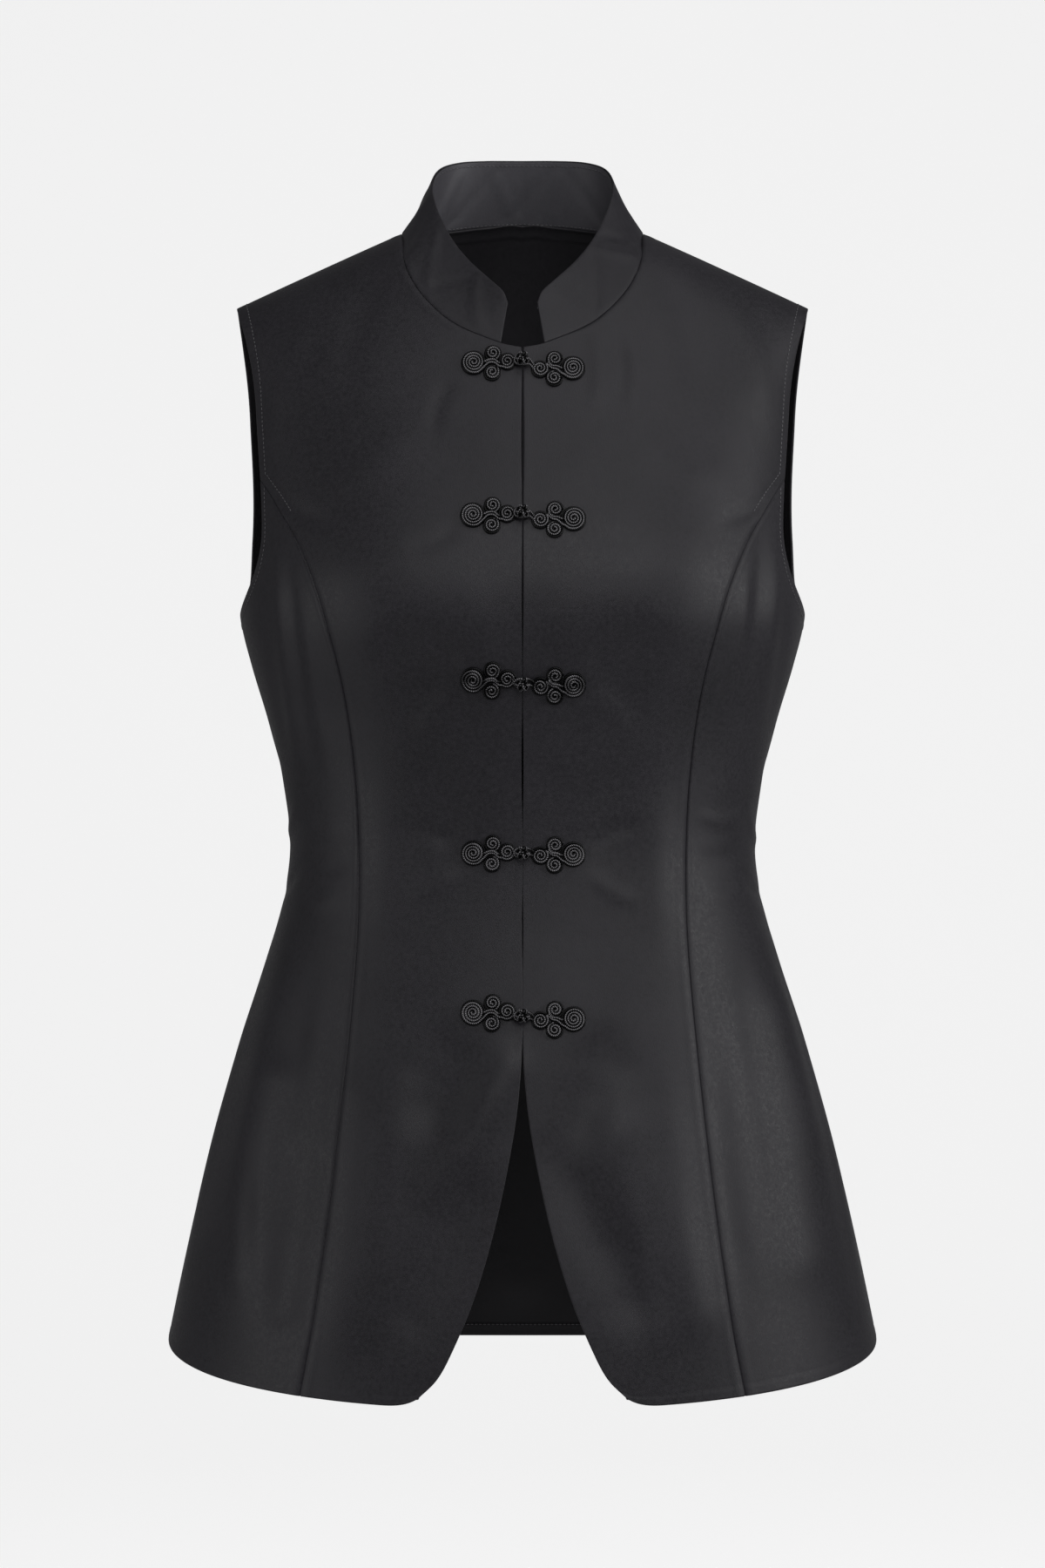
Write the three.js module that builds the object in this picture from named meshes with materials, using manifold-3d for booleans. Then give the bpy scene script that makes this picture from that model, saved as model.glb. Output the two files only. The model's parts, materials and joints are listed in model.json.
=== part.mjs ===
// Mandarin collar top: a sleeveless, fitted top that keeps the hollow form it has when it is worn.
// Princess-seamed fronts, one darted back, a two-layer stand collar and five knotted frog fastenings.
// Millimetres, +Z up, the front faces -Y. The origin lies midway between the high shoulder points.
import * as THREE from 'three';
import { mergeVertices } from 'three/addons/utils/BufferGeometryUtils.js';
import Module from 'manifold-3d';

const wasm = await Module();
wasm.setup();

// Driving dimensions of the cloth
const SEAM_ROWS = [10, 15];     // rows of a panel below and above the top of the vent
const CLOTH = 1.5;              // wall of a panel, with its seam allowances and pressing
const SEAM_GAP = 0.34;          // space left between two pieces at a seam
const COLLAR_SEAT = 0.65;       // height of the collar's lower edge over the neckline
const COLLAR_STEP = 0.75;       // the inner layer ends higher, clear of the panels' inner side
const COLLAR_LAYER = 1.0;       // wall of each of the collar's two layers
const NECK_POINT = 73.8;        // half of the neck width, at the high shoulder point
const SHOULDER_TIP = 173.3;     // half of the shoulder width
const SHOULDER_SLOPE = 0.471;   // fall of the shoulder for each mm outwards
const SHOULDER_SOFTNESS = 30;   // rounds the shoulder line over the neck
const NAPE_RISE = 77;           // the back runs up the neck between its high shoulder points
const NAPE_SPREAD = 40;         // and starts to rise this far outside them
const SHOULDER_SEAM_Y = -5;     // the seam lies just in front of the top of the shoulder
const CHEST_LINE = -110;        // level sections end here and the shoulders begin
const SHOULDER_RUN = 120;       // range of the height parameter above the chest line
const ARMHOLE_BOTTOM = -234;
const VENT_TOP = -475;          // the fronts part below the last fastening
const SIDE_HEM = -668;
const FRONT_HEM_DROP = 26;      // how much lower than the side the front hem hangs
const BACK_HEM_DROP = 20;

// Level sections of the worn form: half width, depth to the front and back, squareness of the oval
const SECTIONS = [
  { z: -705, width: 222.0, front: 139, back: 143, power: 2.10 },
  { z: -620, width: 204.6, front: 130, back: 132, power: 2.12 },
  { z: -552, width: 188.7, front: 121, back: 120, power: 2.15 },
  { z: -495, width: 172.3, front: 112, back: 107, power: 2.18 },
  { z: -438, width: 154.5, front: 102, back: 94, power: 2.20 },
  { z: -403, width: 145.0, front: 97, back: 86.5, power: 2.20 },
  { z: -370, width: 141.2, front: 95, back: 83.5, power: 2.20 },
  { z: -335, width: 145.4, front: 97.5, back: 84, power: 2.24 },
  { z: -298, width: 153.7, front: 104, back: 87.5, power: 2.30 },
  { z: -262, width: 164.4, front: 112.5, back: 91, power: 2.38 },
  { z: -234, width: 171.0, front: 117.5, back: 93.5, power: 2.42 },
  { z: -205, width: 171.5, front: 116, back: 95, power: 2.45 },
  { z: -158, width: 171.5, front: 102.5, back: 95.3, power: 2.45 },
  { z: -110, width: 174.0, front: 82.5, back: 91, power: 2.45 },
];
const FRONT_SPREAD = -3.5;      // the front is narrower than the section above the armhole bottom
const BACK_SPREAD = 3;          // and the back is wider
const SPREAD_RUN = 50;
const TOP_WIDTH = 185;          // width that the section grows to at the shoulder line

// Edge of the armhole: place on the section, in degrees from the centre, at each height
const ARMHOLE = [
  { v: -234, front: 90.0, back: 90.0 },
  { v: -229, front: 81.0, back: 83.5 },
  { v: -219, front: 72.8, back: 77.5 },
  { v: -204, front: 67.2, back: 73.5 },
  { v: -185, front: 65.2, back: 71.5 },
  { v: -152, front: 66.6, back: 70.6 },
  { v: -110, front: 67.5, back: 70.2 },
  { v: -55, front: 68.0, back: 69.8 },
];
const PRINCESS_TOP = -152;      // where the princess seam leaves the armhole

// Princess seam: distance from the centre front at each height
const PRINCESS = [
  { z: -688, x: 129.5 },
  { z: -645, x: 121.5 },
  { z: -540, x: 108.0 },
  { z: -435, x: 98.0 },
  { z: -375, x: 96.7 },
  { z: -324, x: 99.3 },
  { z: -271, x: 106.4 },
  { z: -231, x: 116.5 },
  { z: -208, x: 124.7 },
  { z: -190, x: 133.2 },
  { z: -169, x: 145.8 },
];

// Front edge below the vent: distance from the centre front at each height
const FRONT_EDGE = [
  { z: -687, x: 60.0 },
  { z: -678, x: 50.5 },
  { z: -665, x: 42.8 },
  { z: -632, x: 28.8 },
  { z: -590, x: 16.4 },
  { z: -539, x: 5.8 },
  { z: -505, x: 1.6 },
  { z: -475, x: 0.2 },
];
const HEM_ROUND = 26;           // length over which the front corner rounds into the hem
const CORNER_RISE = 5.2;
const FRONT_PART = 0.35;        // half of the space between the front edges
const FRONT_BOW = 0.3;          // and what it opens by between two fastenings

// Neckline of the front, from the centre to the high shoulder point
const FRONT_NECK = [
  { x: 0, z: -75.5 },
  { x: 13.4, z: -72.6 },
  { x: 37.2, z: -62.2 },
  { x: 51.7, z: -51.0 },
  { x: 64.0, z: -36.0 },
  { x: 71.4, z: -18.5 },
];
// Neckline of the back, from the centre to the high shoulder point, seen from above
const BACK_NECK = [
  { x: 0, y: 56 },
  { x: 22, y: 54 },
  { x: 42, y: 46.5 },
  { x: 59, y: 33 },
  { x: 69.5, y: 15.5 },
];
// Top edge of the collar, from the centre back to the rounded front end
const COLLAR_TOP = [
  { x: 0, y: 47.5, z: 52.5 },
  { x: 22, y: 45.5, z: 52.2 },
  { x: 39, y: 38.5, z: 50.2 },
  { x: 50.5, y: 26.5, z: 45.0 },
  { x: 55.3, y: 11, z: 35.5 },
  { x: 54.2, y: -4, z: 23.0 },
  { x: 48.5, y: -18, z: 7.0 },
  { x: 40.8, y: -30, z: -8.0 },
  { x: 31.0, y: -41, z: -21.0 },
  { x: 19.0, y: -51.5, z: -33.0 },
  { x: 11.6, y: -57, z: -40.5 },
  { x: 8.8, y: -60, z: -47.5 },
];
const NECK_ROWS = { front: 9, back: 7 };
const COLLAR_END = 12.8;        // distance of the collar's lower end from the centre front

// Largest soft folds: a ridge from one point to the other, in the front or back view
const FOLDS = [
  { face: 'front', x0: 88, z0: -214, x1: 84, z1: -232, reach: 42, lift: 4.0 },
  { face: 'front', x0: -88, z0: -214, x1: -84, z1: -232, reach: 42, lift: 4.0 },
  { face: 'front', x0: -8, z0: -500, x1: -46, z1: -566, reach: 12, lift: 2.2 },
  { face: 'front', x0: -40, z0: -498, x1: -52, z1: -520, reach: 16, lift: -2.4 },
  { face: 'front', x0: -34, z0: -575, x1: -60, z1: -640, reach: 16, lift: -2.6 },
  { face: 'front', x0: 42, z0: -500, x1: 34, z1: -525, reach: 16, lift: -2.4 },
  { face: 'front', x0: 24, z0: -552, x1: 62, z1: -630, reach: 17, lift: -2.8 },
  { face: 'front', x0: 62, z0: -540, x1: 98, z1: -640, reach: 18, lift: 2.4 },
  { face: 'front', x0: 150, z0: -470, x1: 172, z1: -610, reach: 20, lift: 3.0 },
  { face: 'front', x0: -148, z0: -510, x1: -166, z1: -620, reach: 15, lift: 3.0 },
  { face: 'front', x0: -128, z0: -560, x1: -140, z1: -640, reach: 12, lift: -2.6 },
  { face: 'front', x0: -96, z0: -520, x1: -108, z1: -650, reach: 20, lift: 2.2 },
  { face: 'back', x0: 52, z0: -455, x1: 74, z1: -640, reach: 20, lift: 3.6 },
  { face: 'back', x0: -48, z0: -470, x1: -66, z1: -650, reach: 22, lift: 3.4 },
  { face: 'back', x0: 4, z0: -500, x1: -2, z1: -650, reach: 18, lift: -3.0 },
  { face: 'back', x0: 126, z0: -480, x1: 150, z1: -640, reach: 20, lift: 2.8 },
  { face: 'back', x0: -122, z0: -500, x1: -148, z1: -630, reach: 18, lift: 3.0 },
  { face: 'back', x0: -60, z0: -352, x1: 58, z1: -362, reach: 14, lift: -1.8 },
];

// Fastenings: height of the ball, and how far each half sits above or below it
const FROGS = [
  { z: -84.9, knotLift: -1.0, loopLift: -1.6 },
  { z: -177.2, knotLift: -1.0, loopLift: -1.3 },
  { z: -274.7, knotLift: 0.9, loopLift: 0.8 },
  { z: -374.3, knotLift: -0.7, loopLift: 1.3 },
  { z: -469.6, knotLift: 1.8, loopLift: 0.8 },
];
const CORD = 1.8;               // thickness of the twisted cord
const COIL_SIDES = 9; 
const BIG_COIL = 6.7;           // radius of the outermost coil
const SMALL_COIL = 5.1;         // radius of the other three
const BALL = 4.3;
const BALL_STANDOFF = 5.7;      // the ball's centre above the cloth
const FROG_GAP = 0.65;          // space between a coil and the cloth
// Coils of each half, seen from the front, from the ball
const KNOT_COILS = [
  { x: -28.8, z: 0.5, radius: BIG_COIL },
  { x: -17.4, z: 6.1, radius: SMALL_COIL },
  { x: -17.9, z: -5.6, radius: SMALL_COIL },
  { x: -8.9, z: 1.2, radius: SMALL_COIL },
];
const LOOP_COILS = [
  { x: 29.7, z: -2.2, radius: BIG_COIL },
  { x: 19.0, z: 3.2, radius: SMALL_COIL },
  { x: 18.7, z: -8.4, radius: SMALL_COIL },
  { x: 10.4, z: -2.9, radius: SMALL_COIL },
];

const SATIN = { color: 0x26262a, roughness: 0.42, metalness: 0 };
const SATIN_INSIDE = { color: 0x212125, roughness: 0.5, metalness: 0 };
const CORD_FINISH = { color: 0x121214, roughness: 0.35, metalness: 0 };

// A smooth curve through the rows of a table, read at one value of its first column
function read(table, along, column, at) {
  const last = table.length - 1;
  let i = 0;
  while (i < last - 1 && at > table[i + 1][along]) i += 1;
  const slope = (a, b) => (table[b][column] - table[a][column]) / (table[b][along] - table[a][along]);
  const here = slope(i, i + 1);
  const before = i > 0 ? slope(i - 1, i + 1) : here;
  const after = i + 2 <= last ? slope(i, i + 2) : here;
  const span = table[i + 1][along] - table[i][along];
  const t = Math.min(1, Math.max(0, (at - table[i][along]) / span));
  const past = at - Math.min(table[last][along], Math.max(table[0][along], at));
  const edge = past < 0 ? before : after;
  return hermite(table[i][column], before * span, table[i + 1][column], after * span, t) + past * edge;
}

function hermite(from, leave, to, arrive, t) {
  const t2 = t * t;
  const t3 = t2 * t;
  const ends = from * (2 * t3 - 3 * t2 + 1) + to * (3 * t2 - 2 * t3);
  return ends + leave * (t3 - 2 * t2 + t) + arrive * (t3 - t2);
}

function smoothstep(from, to, at) {
  const t = Math.min(1, Math.max(0, (at - from) / (to - from)));
  return t * t * (3 - 2 * t);
}

const mix = (a, b, t) => a + (b - a) * t;
const degrees = (value) => (value * Math.PI) / 180;
const sectionAt = (column, z) => read(SECTIONS, 'z', column, z);

function halfWidth(face, z) {
  const spread = face === 'front' ? FRONT_SPREAD : BACK_SPREAD;
  return sectionAt('width', z) + spread * smoothstep(0, SPREAD_RUN, z - ARMHOLE_BOTTOM);
}

function shoulderHeight(x) {
  const soft = (value) => Math.hypot(value, SHOULDER_SOFTNESS);
  return -SHOULDER_SLOPE * (soft(x) - soft(NECK_POINT));
}

const napeHeight = (x, t) => NAPE_RISE * smoothstep(NECK_POINT + NAPE_SPREAD * (1 - t), 5, Math.abs(x));

// Width of the form at a height v, and the power of its oval; above the chest line v runs to the shoulder
function widthAt(face, v) {
  if (v <= CHEST_LINE) return halfWidth(face, v);
  const t = (v - CHEST_LINE) / SHOULDER_RUN;
  const step = 0.5;
  const growth = (halfWidth(face, CHEST_LINE) - halfWidth(face, CHEST_LINE - step)) / step;
  return hermite(halfWidth(face, CHEST_LINE), growth * SHOULDER_RUN, TOP_WIDTH, 0, t);
}

// A point of the plain form: angle from the centre front or back, positive towards +X, and height v
function formPoint(face, angle, v) {
  const out = face === 'front' ? -1 : 1;
  const level = Math.min(v, CHEST_LINE);
  const power = 2 / sectionAt('power', level);
  const across = Math.sign(angle) * Math.abs(Math.sin(angle)) ** power;
  const deep = Math.max(0, Math.cos(angle)) ** power;
  const depth = sectionAt(face, level);
  const x = widthAt(face, v) * across;
  if (v <= CHEST_LINE) return new THREE.Vector3(x, out * depth * deep, v);
  const t = (v - CHEST_LINE) / SHOULDER_RUN;
  const step = 0.5;
  const lean = (depth - sectionAt(face, CHEST_LINE - step)) / step;
  const fromY = out * depth * deep;
  const turn = (1.15 * Math.abs(fromY - SHOULDER_SEAM_Y) + 8) * -out;
  const rise = 0.12 * turn;
  const topX = TOP_WIDTH * across;
  const topZ = shoulderHeight(topX) + (face === 'back' ? napeHeight(topX, t) : 0);
  const y = hermite(fromY, out * lean * deep * SHOULDER_RUN, SHOULDER_SEAM_Y, turn, t);
  return new THREE.Vector3(x, y, hermite(CHEST_LINE, SHOULDER_RUN, topZ, rise, t));
}

function normalOf(pointAt, face, angle, v) {
  const tiny = 4e-4;
  const rise = 0.2;
  const limit = Math.PI / 2;
  const top = CHEST_LINE + SHOULDER_RUN;
  const a0 = Math.max(-limit, angle - tiny);
  const a1 = Math.min(limit, angle + tiny);
  const v1 = Math.min(top, v + rise);
  const across = pointAt(face, a1, v).sub(pointAt(face, a0, v));
  const up = pointAt(face, angle, v1).sub(pointAt(face, angle, v1 - 2 * rise));
  const normal = across.cross(up).normalize();
  return face === 'front' ? normal : normal.negate();
}

// Height of the folds above the plain form
function foldLift(face, point, face_on) {
  let lift = 0;
  for (const fold of FOLDS) {
    if (fold.face !== face) continue;
    const dx = fold.x1 - fold.x0;
    const dz = fold.z1 - fold.z0;
    const run = dx * dx + dz * dz;
    const t = Math.min(1, Math.max(0, ((point.x - fold.x0) * dx + (point.z - fold.z0) * dz) / run));
    const away = Math.hypot(point.x - fold.x0 - dx * t, point.z - fold.z0 - dz * t);
    lift += fold.lift * Math.exp(-((away / fold.reach) ** 2));
  }
  return lift * smoothstep(0.05, 0.4, face_on);
}

// A point of the cloth's outer side
function clothPoint(face, angle, v) {
  const point = formPoint(face, angle, v);
  const lift = foldLift(face, point, Math.cos(angle));
  return point.addScaledVector(normalOf(formPoint, face, angle, v), lift);
}

// Place on the form of a point given in the front view
function place(face, x, z) {
  const angleAt = (v) => {
    const power = sectionAt('power', Math.min(v, CHEST_LINE)) / 2;
    return Math.sign(x) * Math.asin(Math.min(1, Math.abs(x) / widthAt(face, v)) ** power);
  };
  if (z <= CHEST_LINE) return [angleAt(z), z];
  let low = CHEST_LINE;
  let high = CHEST_LINE + SHOULDER_RUN;
  for (let i = 0; i < 40; i += 1) {
    const middle = (low + high) / 2;
    if (formPoint(face, angleAt(middle), middle).z < z) low = middle;
    else high = middle;
  }
  return [angleAt(low), low];
}

// Place on the form of a point given from above, on the shoulder or the back of the neck
function placeFromAbove(face, x, y) {
  const angleAt = (v) => {
    const power = sectionAt('power', CHEST_LINE) / 2;
    return Math.sign(x) * Math.asin(Math.min(1, Math.abs(x) / widthAt(face, v)) ** power);
  };
  let low = CHEST_LINE;
  let high = CHEST_LINE + SHOULDER_RUN;
  for (let i = 0; i < 40; i += 1) {
    const middle = (low + high) / 2;
    const reached = formPoint(face, angleAt(middle), middle).y;
    if (face === 'front' ? reached < y : reached > y) low = middle;
    else high = middle;
  }
  return [angleAt(low), low];
}

// Angle of the side seam, half a gap away from the true side
function sideAngle(face, v) {
  const power = sectionAt('power', v) / 2;
  return Math.acos((SEAM_GAP / 2 / sectionAt(face, v)) ** power);
}

function hemHeight(face, angle, z) {
  const deep = Math.cos(angle) ** (2 / sectionAt('power', z));
  return SIDE_HEM - (face === 'front' ? FRONT_HEM_DROP : BACK_HEM_DROP) * deep;
}

// Points along a curve given by stations, evenly between each two of them
function along(stations, counts, pointAt) {
  const points = [];
  counts.forEach((count, i) => {
    for (let k = 0; k < count; k += 1) points.push(pointAt(mix(stations[i], stations[i + 1], k / count)));
  });
  points.push(pointAt(stations[stations.length - 1]));
  return points;
}

// A patch of the form between four edges, each a list of [angle, v]
function patch(bottom, top, inner, outer) {
  const columns = bottom.length - 1;
  const rows = inner.length - 1;
  return Array.from({ length: rows + 1 }, (_, j) => Array.from({ length: columns + 1 }, (__, i) => {
    const s = i / columns;
    const t = j / rows;
    return [0, 1].map((axis) => {
      const rails = mix(bottom[i][axis], top[i][axis], t) + mix(inner[j][axis], outer[j][axis], s);
      const low = mix(bottom[0][axis], bottom[columns][axis], s);
      const high = mix(top[0][axis], top[columns][axis], s);
      return rails - mix(low, high, t);
    });
  }));
}

// A closed wall from a grid of outer points and a grid of inner points
function wallGeometry(outer, inner) {
  const rows = outer.length;
  const columns = outer[0].length;
  const positions = [];
  for (const layer of [outer, inner]) {
    for (const row of layer) for (const point of row) positions.push(point.x, point.y, point.z);
  }
  const at = (layer, j, i) => layer * rows * columns + j * columns + i;
  const faces = [];
  const quad = (a, b, c, d) => faces.push(a, b, c, a, c, d);
  for (let j = 0; j < rows - 1; j += 1) {
    for (let i = 0; i < columns - 1; i += 1) {
      quad(at(0, j, i), at(0, j, i + 1), at(0, j + 1, i + 1), at(0, j + 1, i));
      quad(at(1, j, i), at(1, j + 1, i), at(1, j + 1, i + 1), at(1, j, i + 1));
    }
    quad(at(0, j, 0), at(0, j + 1, 0), at(1, j + 1, 0), at(1, j, 0));
    quad(at(0, j, columns - 1), at(1, j, columns - 1), at(1, j + 1, columns - 1), at(0, j + 1, columns - 1));
  }
  for (let i = 0; i < columns - 1; i += 1) {
    quad(at(0, 0, i), at(1, 0, i), at(1, 0, i + 1), at(0, 0, i + 1));
    quad(at(0, rows - 1, i), at(0, rows - 1, i + 1), at(1, rows - 1, i + 1), at(1, rows - 1, i));
  }
  return facingOut(positions, faces);
}

function signedVolume(positions, faces) {
  const corner = (i) => new THREE.Vector3().fromArray(positions, 3 * faces[i]);
  let volume = 0;
  for (let i = 0; i < faces.length; i += 3) {
    volume += corner(i).dot(corner(i + 1).cross(corner(i + 2))) / 6;
  }
  return volume;
}

function facingOut(positions, faces) {
  const order = [...faces];
  if (signedVolume(positions, faces) < 0) {
    for (let i = 0; i < order.length; i += 3) [order[i], order[i + 1]] = [order[i + 1], order[i]];
  }
  const geometry = new THREE.BufferGeometry();
  geometry.setAttribute('position', new THREE.Float32BufferAttribute(positions, 3));
  geometry.setIndex(order);
  geometry.computeVertexNormals();
  return geometry;
}

function panelGeometry(face, places) {
  const outer = places.map((row) => row.map(([angle, v]) => clothPoint(face, angle, v)));
  const inner = places.map((row, j) => row.map(([angle, v], i) => {
    const normal = normalOf(clothPoint, face, angle, v);
    return outer[j][i].clone().addScaledVector(normal, -CLOTH);
  }));
  return wallGeometry(outer, inner);
}

// Evenly spaced points on a smooth curve through the given ones
function spaced(points, count) {
  const curve = new THREE.CatmullRomCurve3(points, false, 'centripetal');
  curve.arcLengthDivisions = 400;
  return Array.from({ length: count + 1 }, (_, i) => curve.getPointAt(i / count));
}

// The seam of the collar, which the panels' necklines share point by point
const neckPeak = formPoint('front', ...placeFromAbove('front', NECK_POINT, SHOULDER_SEAM_Y));
const NECK_BACK = spaced([
  ...BACK_NECK.map(({ x, y }) => formPoint('back', ...placeFromAbove('back', Math.max(x, 1e-6), y))),
  neckPeak,
], NECK_ROWS.back);
const NECK_FRONT = spaced([
  formPoint('front', ...place('front', COLLAR_END, read(FRONT_NECK, 'x', 'z', COLLAR_END))),
  ...FRONT_NECK.filter(({ x }) => x > COLLAR_END + 2).map(({ x, z }) => formPoint('front', ...place('front', x, z))),
  neckPeak,
], NECK_ROWS.front);

// Edge lines of the panels, each for the side of +X or -X
function frontEdgeX(z) {
  const fastenings = FROGS.map((frog) => frog.z);
  const nearest = Math.min(...fastenings.map((height) => Math.abs(height - z)));
  const bow = FRONT_BOW * smoothstep(8, 45, nearest);
  const part = FRONT_PART + (z > VENT_TOP ? bow : 0);
  return part + (z < VENT_TOP ? read(FRONT_EDGE, 'z', 'x', z) : 0);
}

const princessX = (z, angleTop) => {
  const rows = [...PRINCESS, { z: PRINCESS_TOP, x: angleTop }];
  return read(rows, 'z', 'x', z);
};

function armholeAngle(face, v) {
  const tip = Math.asin((SHOULDER_TIP / TOP_WIDTH) ** (sectionAt('power', CHEST_LINE) / 2));
  const rows = [...ARMHOLE, { v: CHEST_LINE + SHOULDER_RUN, [face]: (tip * 180) / Math.PI }];
  return degrees(read(rows, 'v', face, v));
}

const armholeX = (face, v) => formPoint(face, armholeAngle(face, v), v).x;
const PRINCESS_TOP_X = armholeX('front', PRINCESS_TOP);

function princessPlace(side, z, shift) {
  return place('front', side * (princessX(z, PRINCESS_TOP_X) + shift), z);
}

function hemPlace(side, x) {
  let z = SIDE_HEM;
  let angle = 0;
  for (let i = 0; i < 6; i += 1) {
    [angle] = place('front', side * x, z);
    z = hemHeight('front', angle, z);
  }
  return [angle, z];
}

function frontPlaces(side) {
  const corner = FRONT_EDGE[0].x + FRONT_PART;
  const columns = 8;
  const hem = princessPlace(side, hemPlace(side, princessX(SIDE_HEM - 20, PRINCESS_TOP_X))[1], -SEAM_GAP / 2);
  const hemX = princessX(hem[1], PRINCESS_TOP_X) - SEAM_GAP / 2;
  const bottom = along([corner, hemX], [columns], (x) => {
    const [angle, z] = hemPlace(side, x);
    const round = Math.max(0, 1 - (x - corner) / HEM_ROUND) ** 2;
    return [angle, z + CORNER_RISE * round];
  });
  const cornerZ = bottom[0][1];
  const neckCentre = FRONT_NECK[0].z;
  const lower = along([cornerZ, VENT_TOP, PRINCESS_TOP, neckCentre], [...SEAM_ROWS, 4], (z) =>
    place('front', side * frontEdgeX(z), z));
  const seamY = SHOULDER_SEAM_Y - SEAM_GAP / 2;
  const shoulder = (x) => placeFromAbove('front', side * x, seamY);
  const neck = NECK_FRONT.slice(0, -1).map(({ x, z }) => place('front', side * x, z));
  const inner = [...lower, ...neck, shoulder(NECK_POINT)];
  const seam = along([hem[1], VENT_TOP, PRINCESS_TOP], SEAM_ROWS, (z) =>
    princessPlace(side, z, -SEAM_GAP / 2)).slice(0, -1);
  const top = along([NECK_POINT, SHOULDER_TIP], [columns], shoulder);
  const rise = top[columns][1];
  const armCount = inner.length - seam.length - 1;
  const arm = along([PRINCESS_TOP, rise], [armCount], (v) => [side * armholeAngle('front', v), v]);
  arm[arm.length - 1] = top[columns];
  return patch(bottom, top, inner, [...seam, ...arm]);
}

function sideFrontPlaces(side) {
  const columns = 7;
  const start = hemPlace(side, princessX(SIDE_HEM - 20, PRINCESS_TOP_X))[1];
  const seamStart = princessPlace(side, start, SEAM_GAP / 2);
  const inner = along([start, VENT_TOP, PRINCESS_TOP], SEAM_ROWS, (z) => princessPlace(side, z, SEAM_GAP / 2));
  const outer = along([SIDE_HEM, VENT_TOP, ARMHOLE_BOTTOM], SEAM_ROWS, (z) => [side * sideAngle('front', z), z]);
  const endAngle = sideAngle('front', SIDE_HEM);
  const bottom = along([0, 1], [columns], (t) => {
    const angle = mix(seamStart[0], side * endAngle, t);
    return [angle, hemHeight('front', angle, SIDE_HEM)];
  });
  bottom[0] = inner[0];
  bottom[columns] = outer[0];
  const drop = [0, 0.27, 0.46, 0.62, 0.75, 0.86, 0.95, 1];
  const top = drop.map((t) => {
    const v = mix(PRINCESS_TOP, ARMHOLE_BOTTOM, t);
    const limit = sideAngle('front', ARMHOLE_BOTTOM);
    return [side * Math.min(armholeAngle('front', v), limit), v];
  });
  top[0] = inner[inner.length - 1];
  top[columns] = outer[outer.length - 1];
  return patch(bottom, top, inner, outer);
}

function backPlaces() {
  const seamY = SHOULDER_SEAM_Y + SEAM_GAP / 2;
  const shoulder = (x) => placeFromAbove('back', x, seamY);
  const half = NECK_BACK.slice(0, -1).map(({ x, y }) => placeFromAbove('back', x, y));
  half.push(shoulder(NECK_POINT));
  const ends = along([NECK_POINT, SHOULDER_TIP], [4], shoulder).slice(1);
  const right = [...half, ...ends];
  const mirror = ([angle, v]) => [-angle, v];
  const top = [...right.slice(1).reverse().map(mirror), ...right];
  top[right.length - 1] = [0, right[0][1]];
  const columns = top.length - 1;
  const limit = sideAngle('back', SIDE_HEM);
  const bottom = along([-limit, limit], [columns], (angle) => [angle, hemHeight('back', angle, SIDE_HEM)]);
  const seam = along([SIDE_HEM, VENT_TOP, ARMHOLE_BOTTOM], SEAM_ROWS, (z) => [sideAngle('back', z), z]);
  const rise = ends[ends.length - 1];
  const arm = along([ARMHOLE_BOTTOM, -219, rise[1]], [2, 8], (v) => [armholeAngle('back', v), v]).slice(1);
  arm[arm.length - 1] = rise;
  const outer = [...seam, ...arm];
  bottom[0] = mirror(outer[0]);
  bottom[columns] = outer[0];
  return patch(bottom, top, outer.map(mirror), outer);
}

function wholeCurve(half) {
  const mirrored = half.slice(1).reverse().map((point) => new THREE.Vector3(-point.x, point.y, point.z));
  return [...mirrored, ...half];
}

// One layer of the collar, its outer side lying a given depth inside the collar's outer surface
function collarGeometry(depth) {
  const rows = 4;
  const low = wholeCurve([...NECK_BACK, ...[...NECK_FRONT].reverse().slice(1)]);
  const topPoints = COLLAR_TOP.map(({ x, y, z }) => new THREE.Vector3(x, y, z));
  const high = wholeCurve(spaced(topPoints, NECK_ROWS.front + NECK_ROWS.back));
  const middle = Array.from({ length: rows + 1 }, (_, j) => low.map((point, i) => {
    const up = high[i].clone().sub(point);
    const start = point.clone().addScaledVector(up.clone().normalize(), COLLAR_SEAT + COLLAR_STEP * depth);
    return start.lerp(high[i], j / rows);
  }));
  const columns = low.length;
  const normal = (j, i) => {
    const across = middle[j][Math.min(columns - 1, i + 1)].clone().sub(middle[j][Math.max(0, i - 1)]);
    const up = middle[Math.min(rows, j + 1)][i].clone().sub(middle[Math.max(0, j - 1)][i]);
    const out = across.cross(up).normalize();
    return out.dot(new THREE.Vector3(middle[j][i].x, middle[j][i].y, 0)) < 0 ? out.negate() : out;
  };
  const layer = (inwards) => middle.map((row, j) => row.map((point, i) =>
    point.clone().addScaledVector(normal(j, i), -inwards)));
  return wallGeometry(layer(depth), layer(depth + COLLAR_LAYER));
}

// Closed solids of the fastenings, as manifolds that can be joined
function asManifold(geometry, matrix) {
  const bare = geometry.clone().applyMatrix4(matrix);
  bare.deleteAttribute('normal');
  bare.deleteAttribute('uv');
  const merged = mergeVertices(bare, 1e-4);
  const positions = [...merged.attributes.position.array];
  const faces = [];
  for (let i = 0; i < merged.index.count; i += 3) {
    const [a, b, c] = [0, 1, 2].map((k) => merged.index.getX(i + k));
    if (a !== b && b !== c && c !== a) faces.push(a, b, c);
  }
  const closed = facingOut(positions, faces);
  const vertProperties = new Float32Array(closed.attributes.position.array);
  const triVerts = new Uint32Array(closed.index.array);
  return new wasm.Manifold(new wasm.Mesh({ numProp: 3, vertProperties, triVerts }));
}

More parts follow.
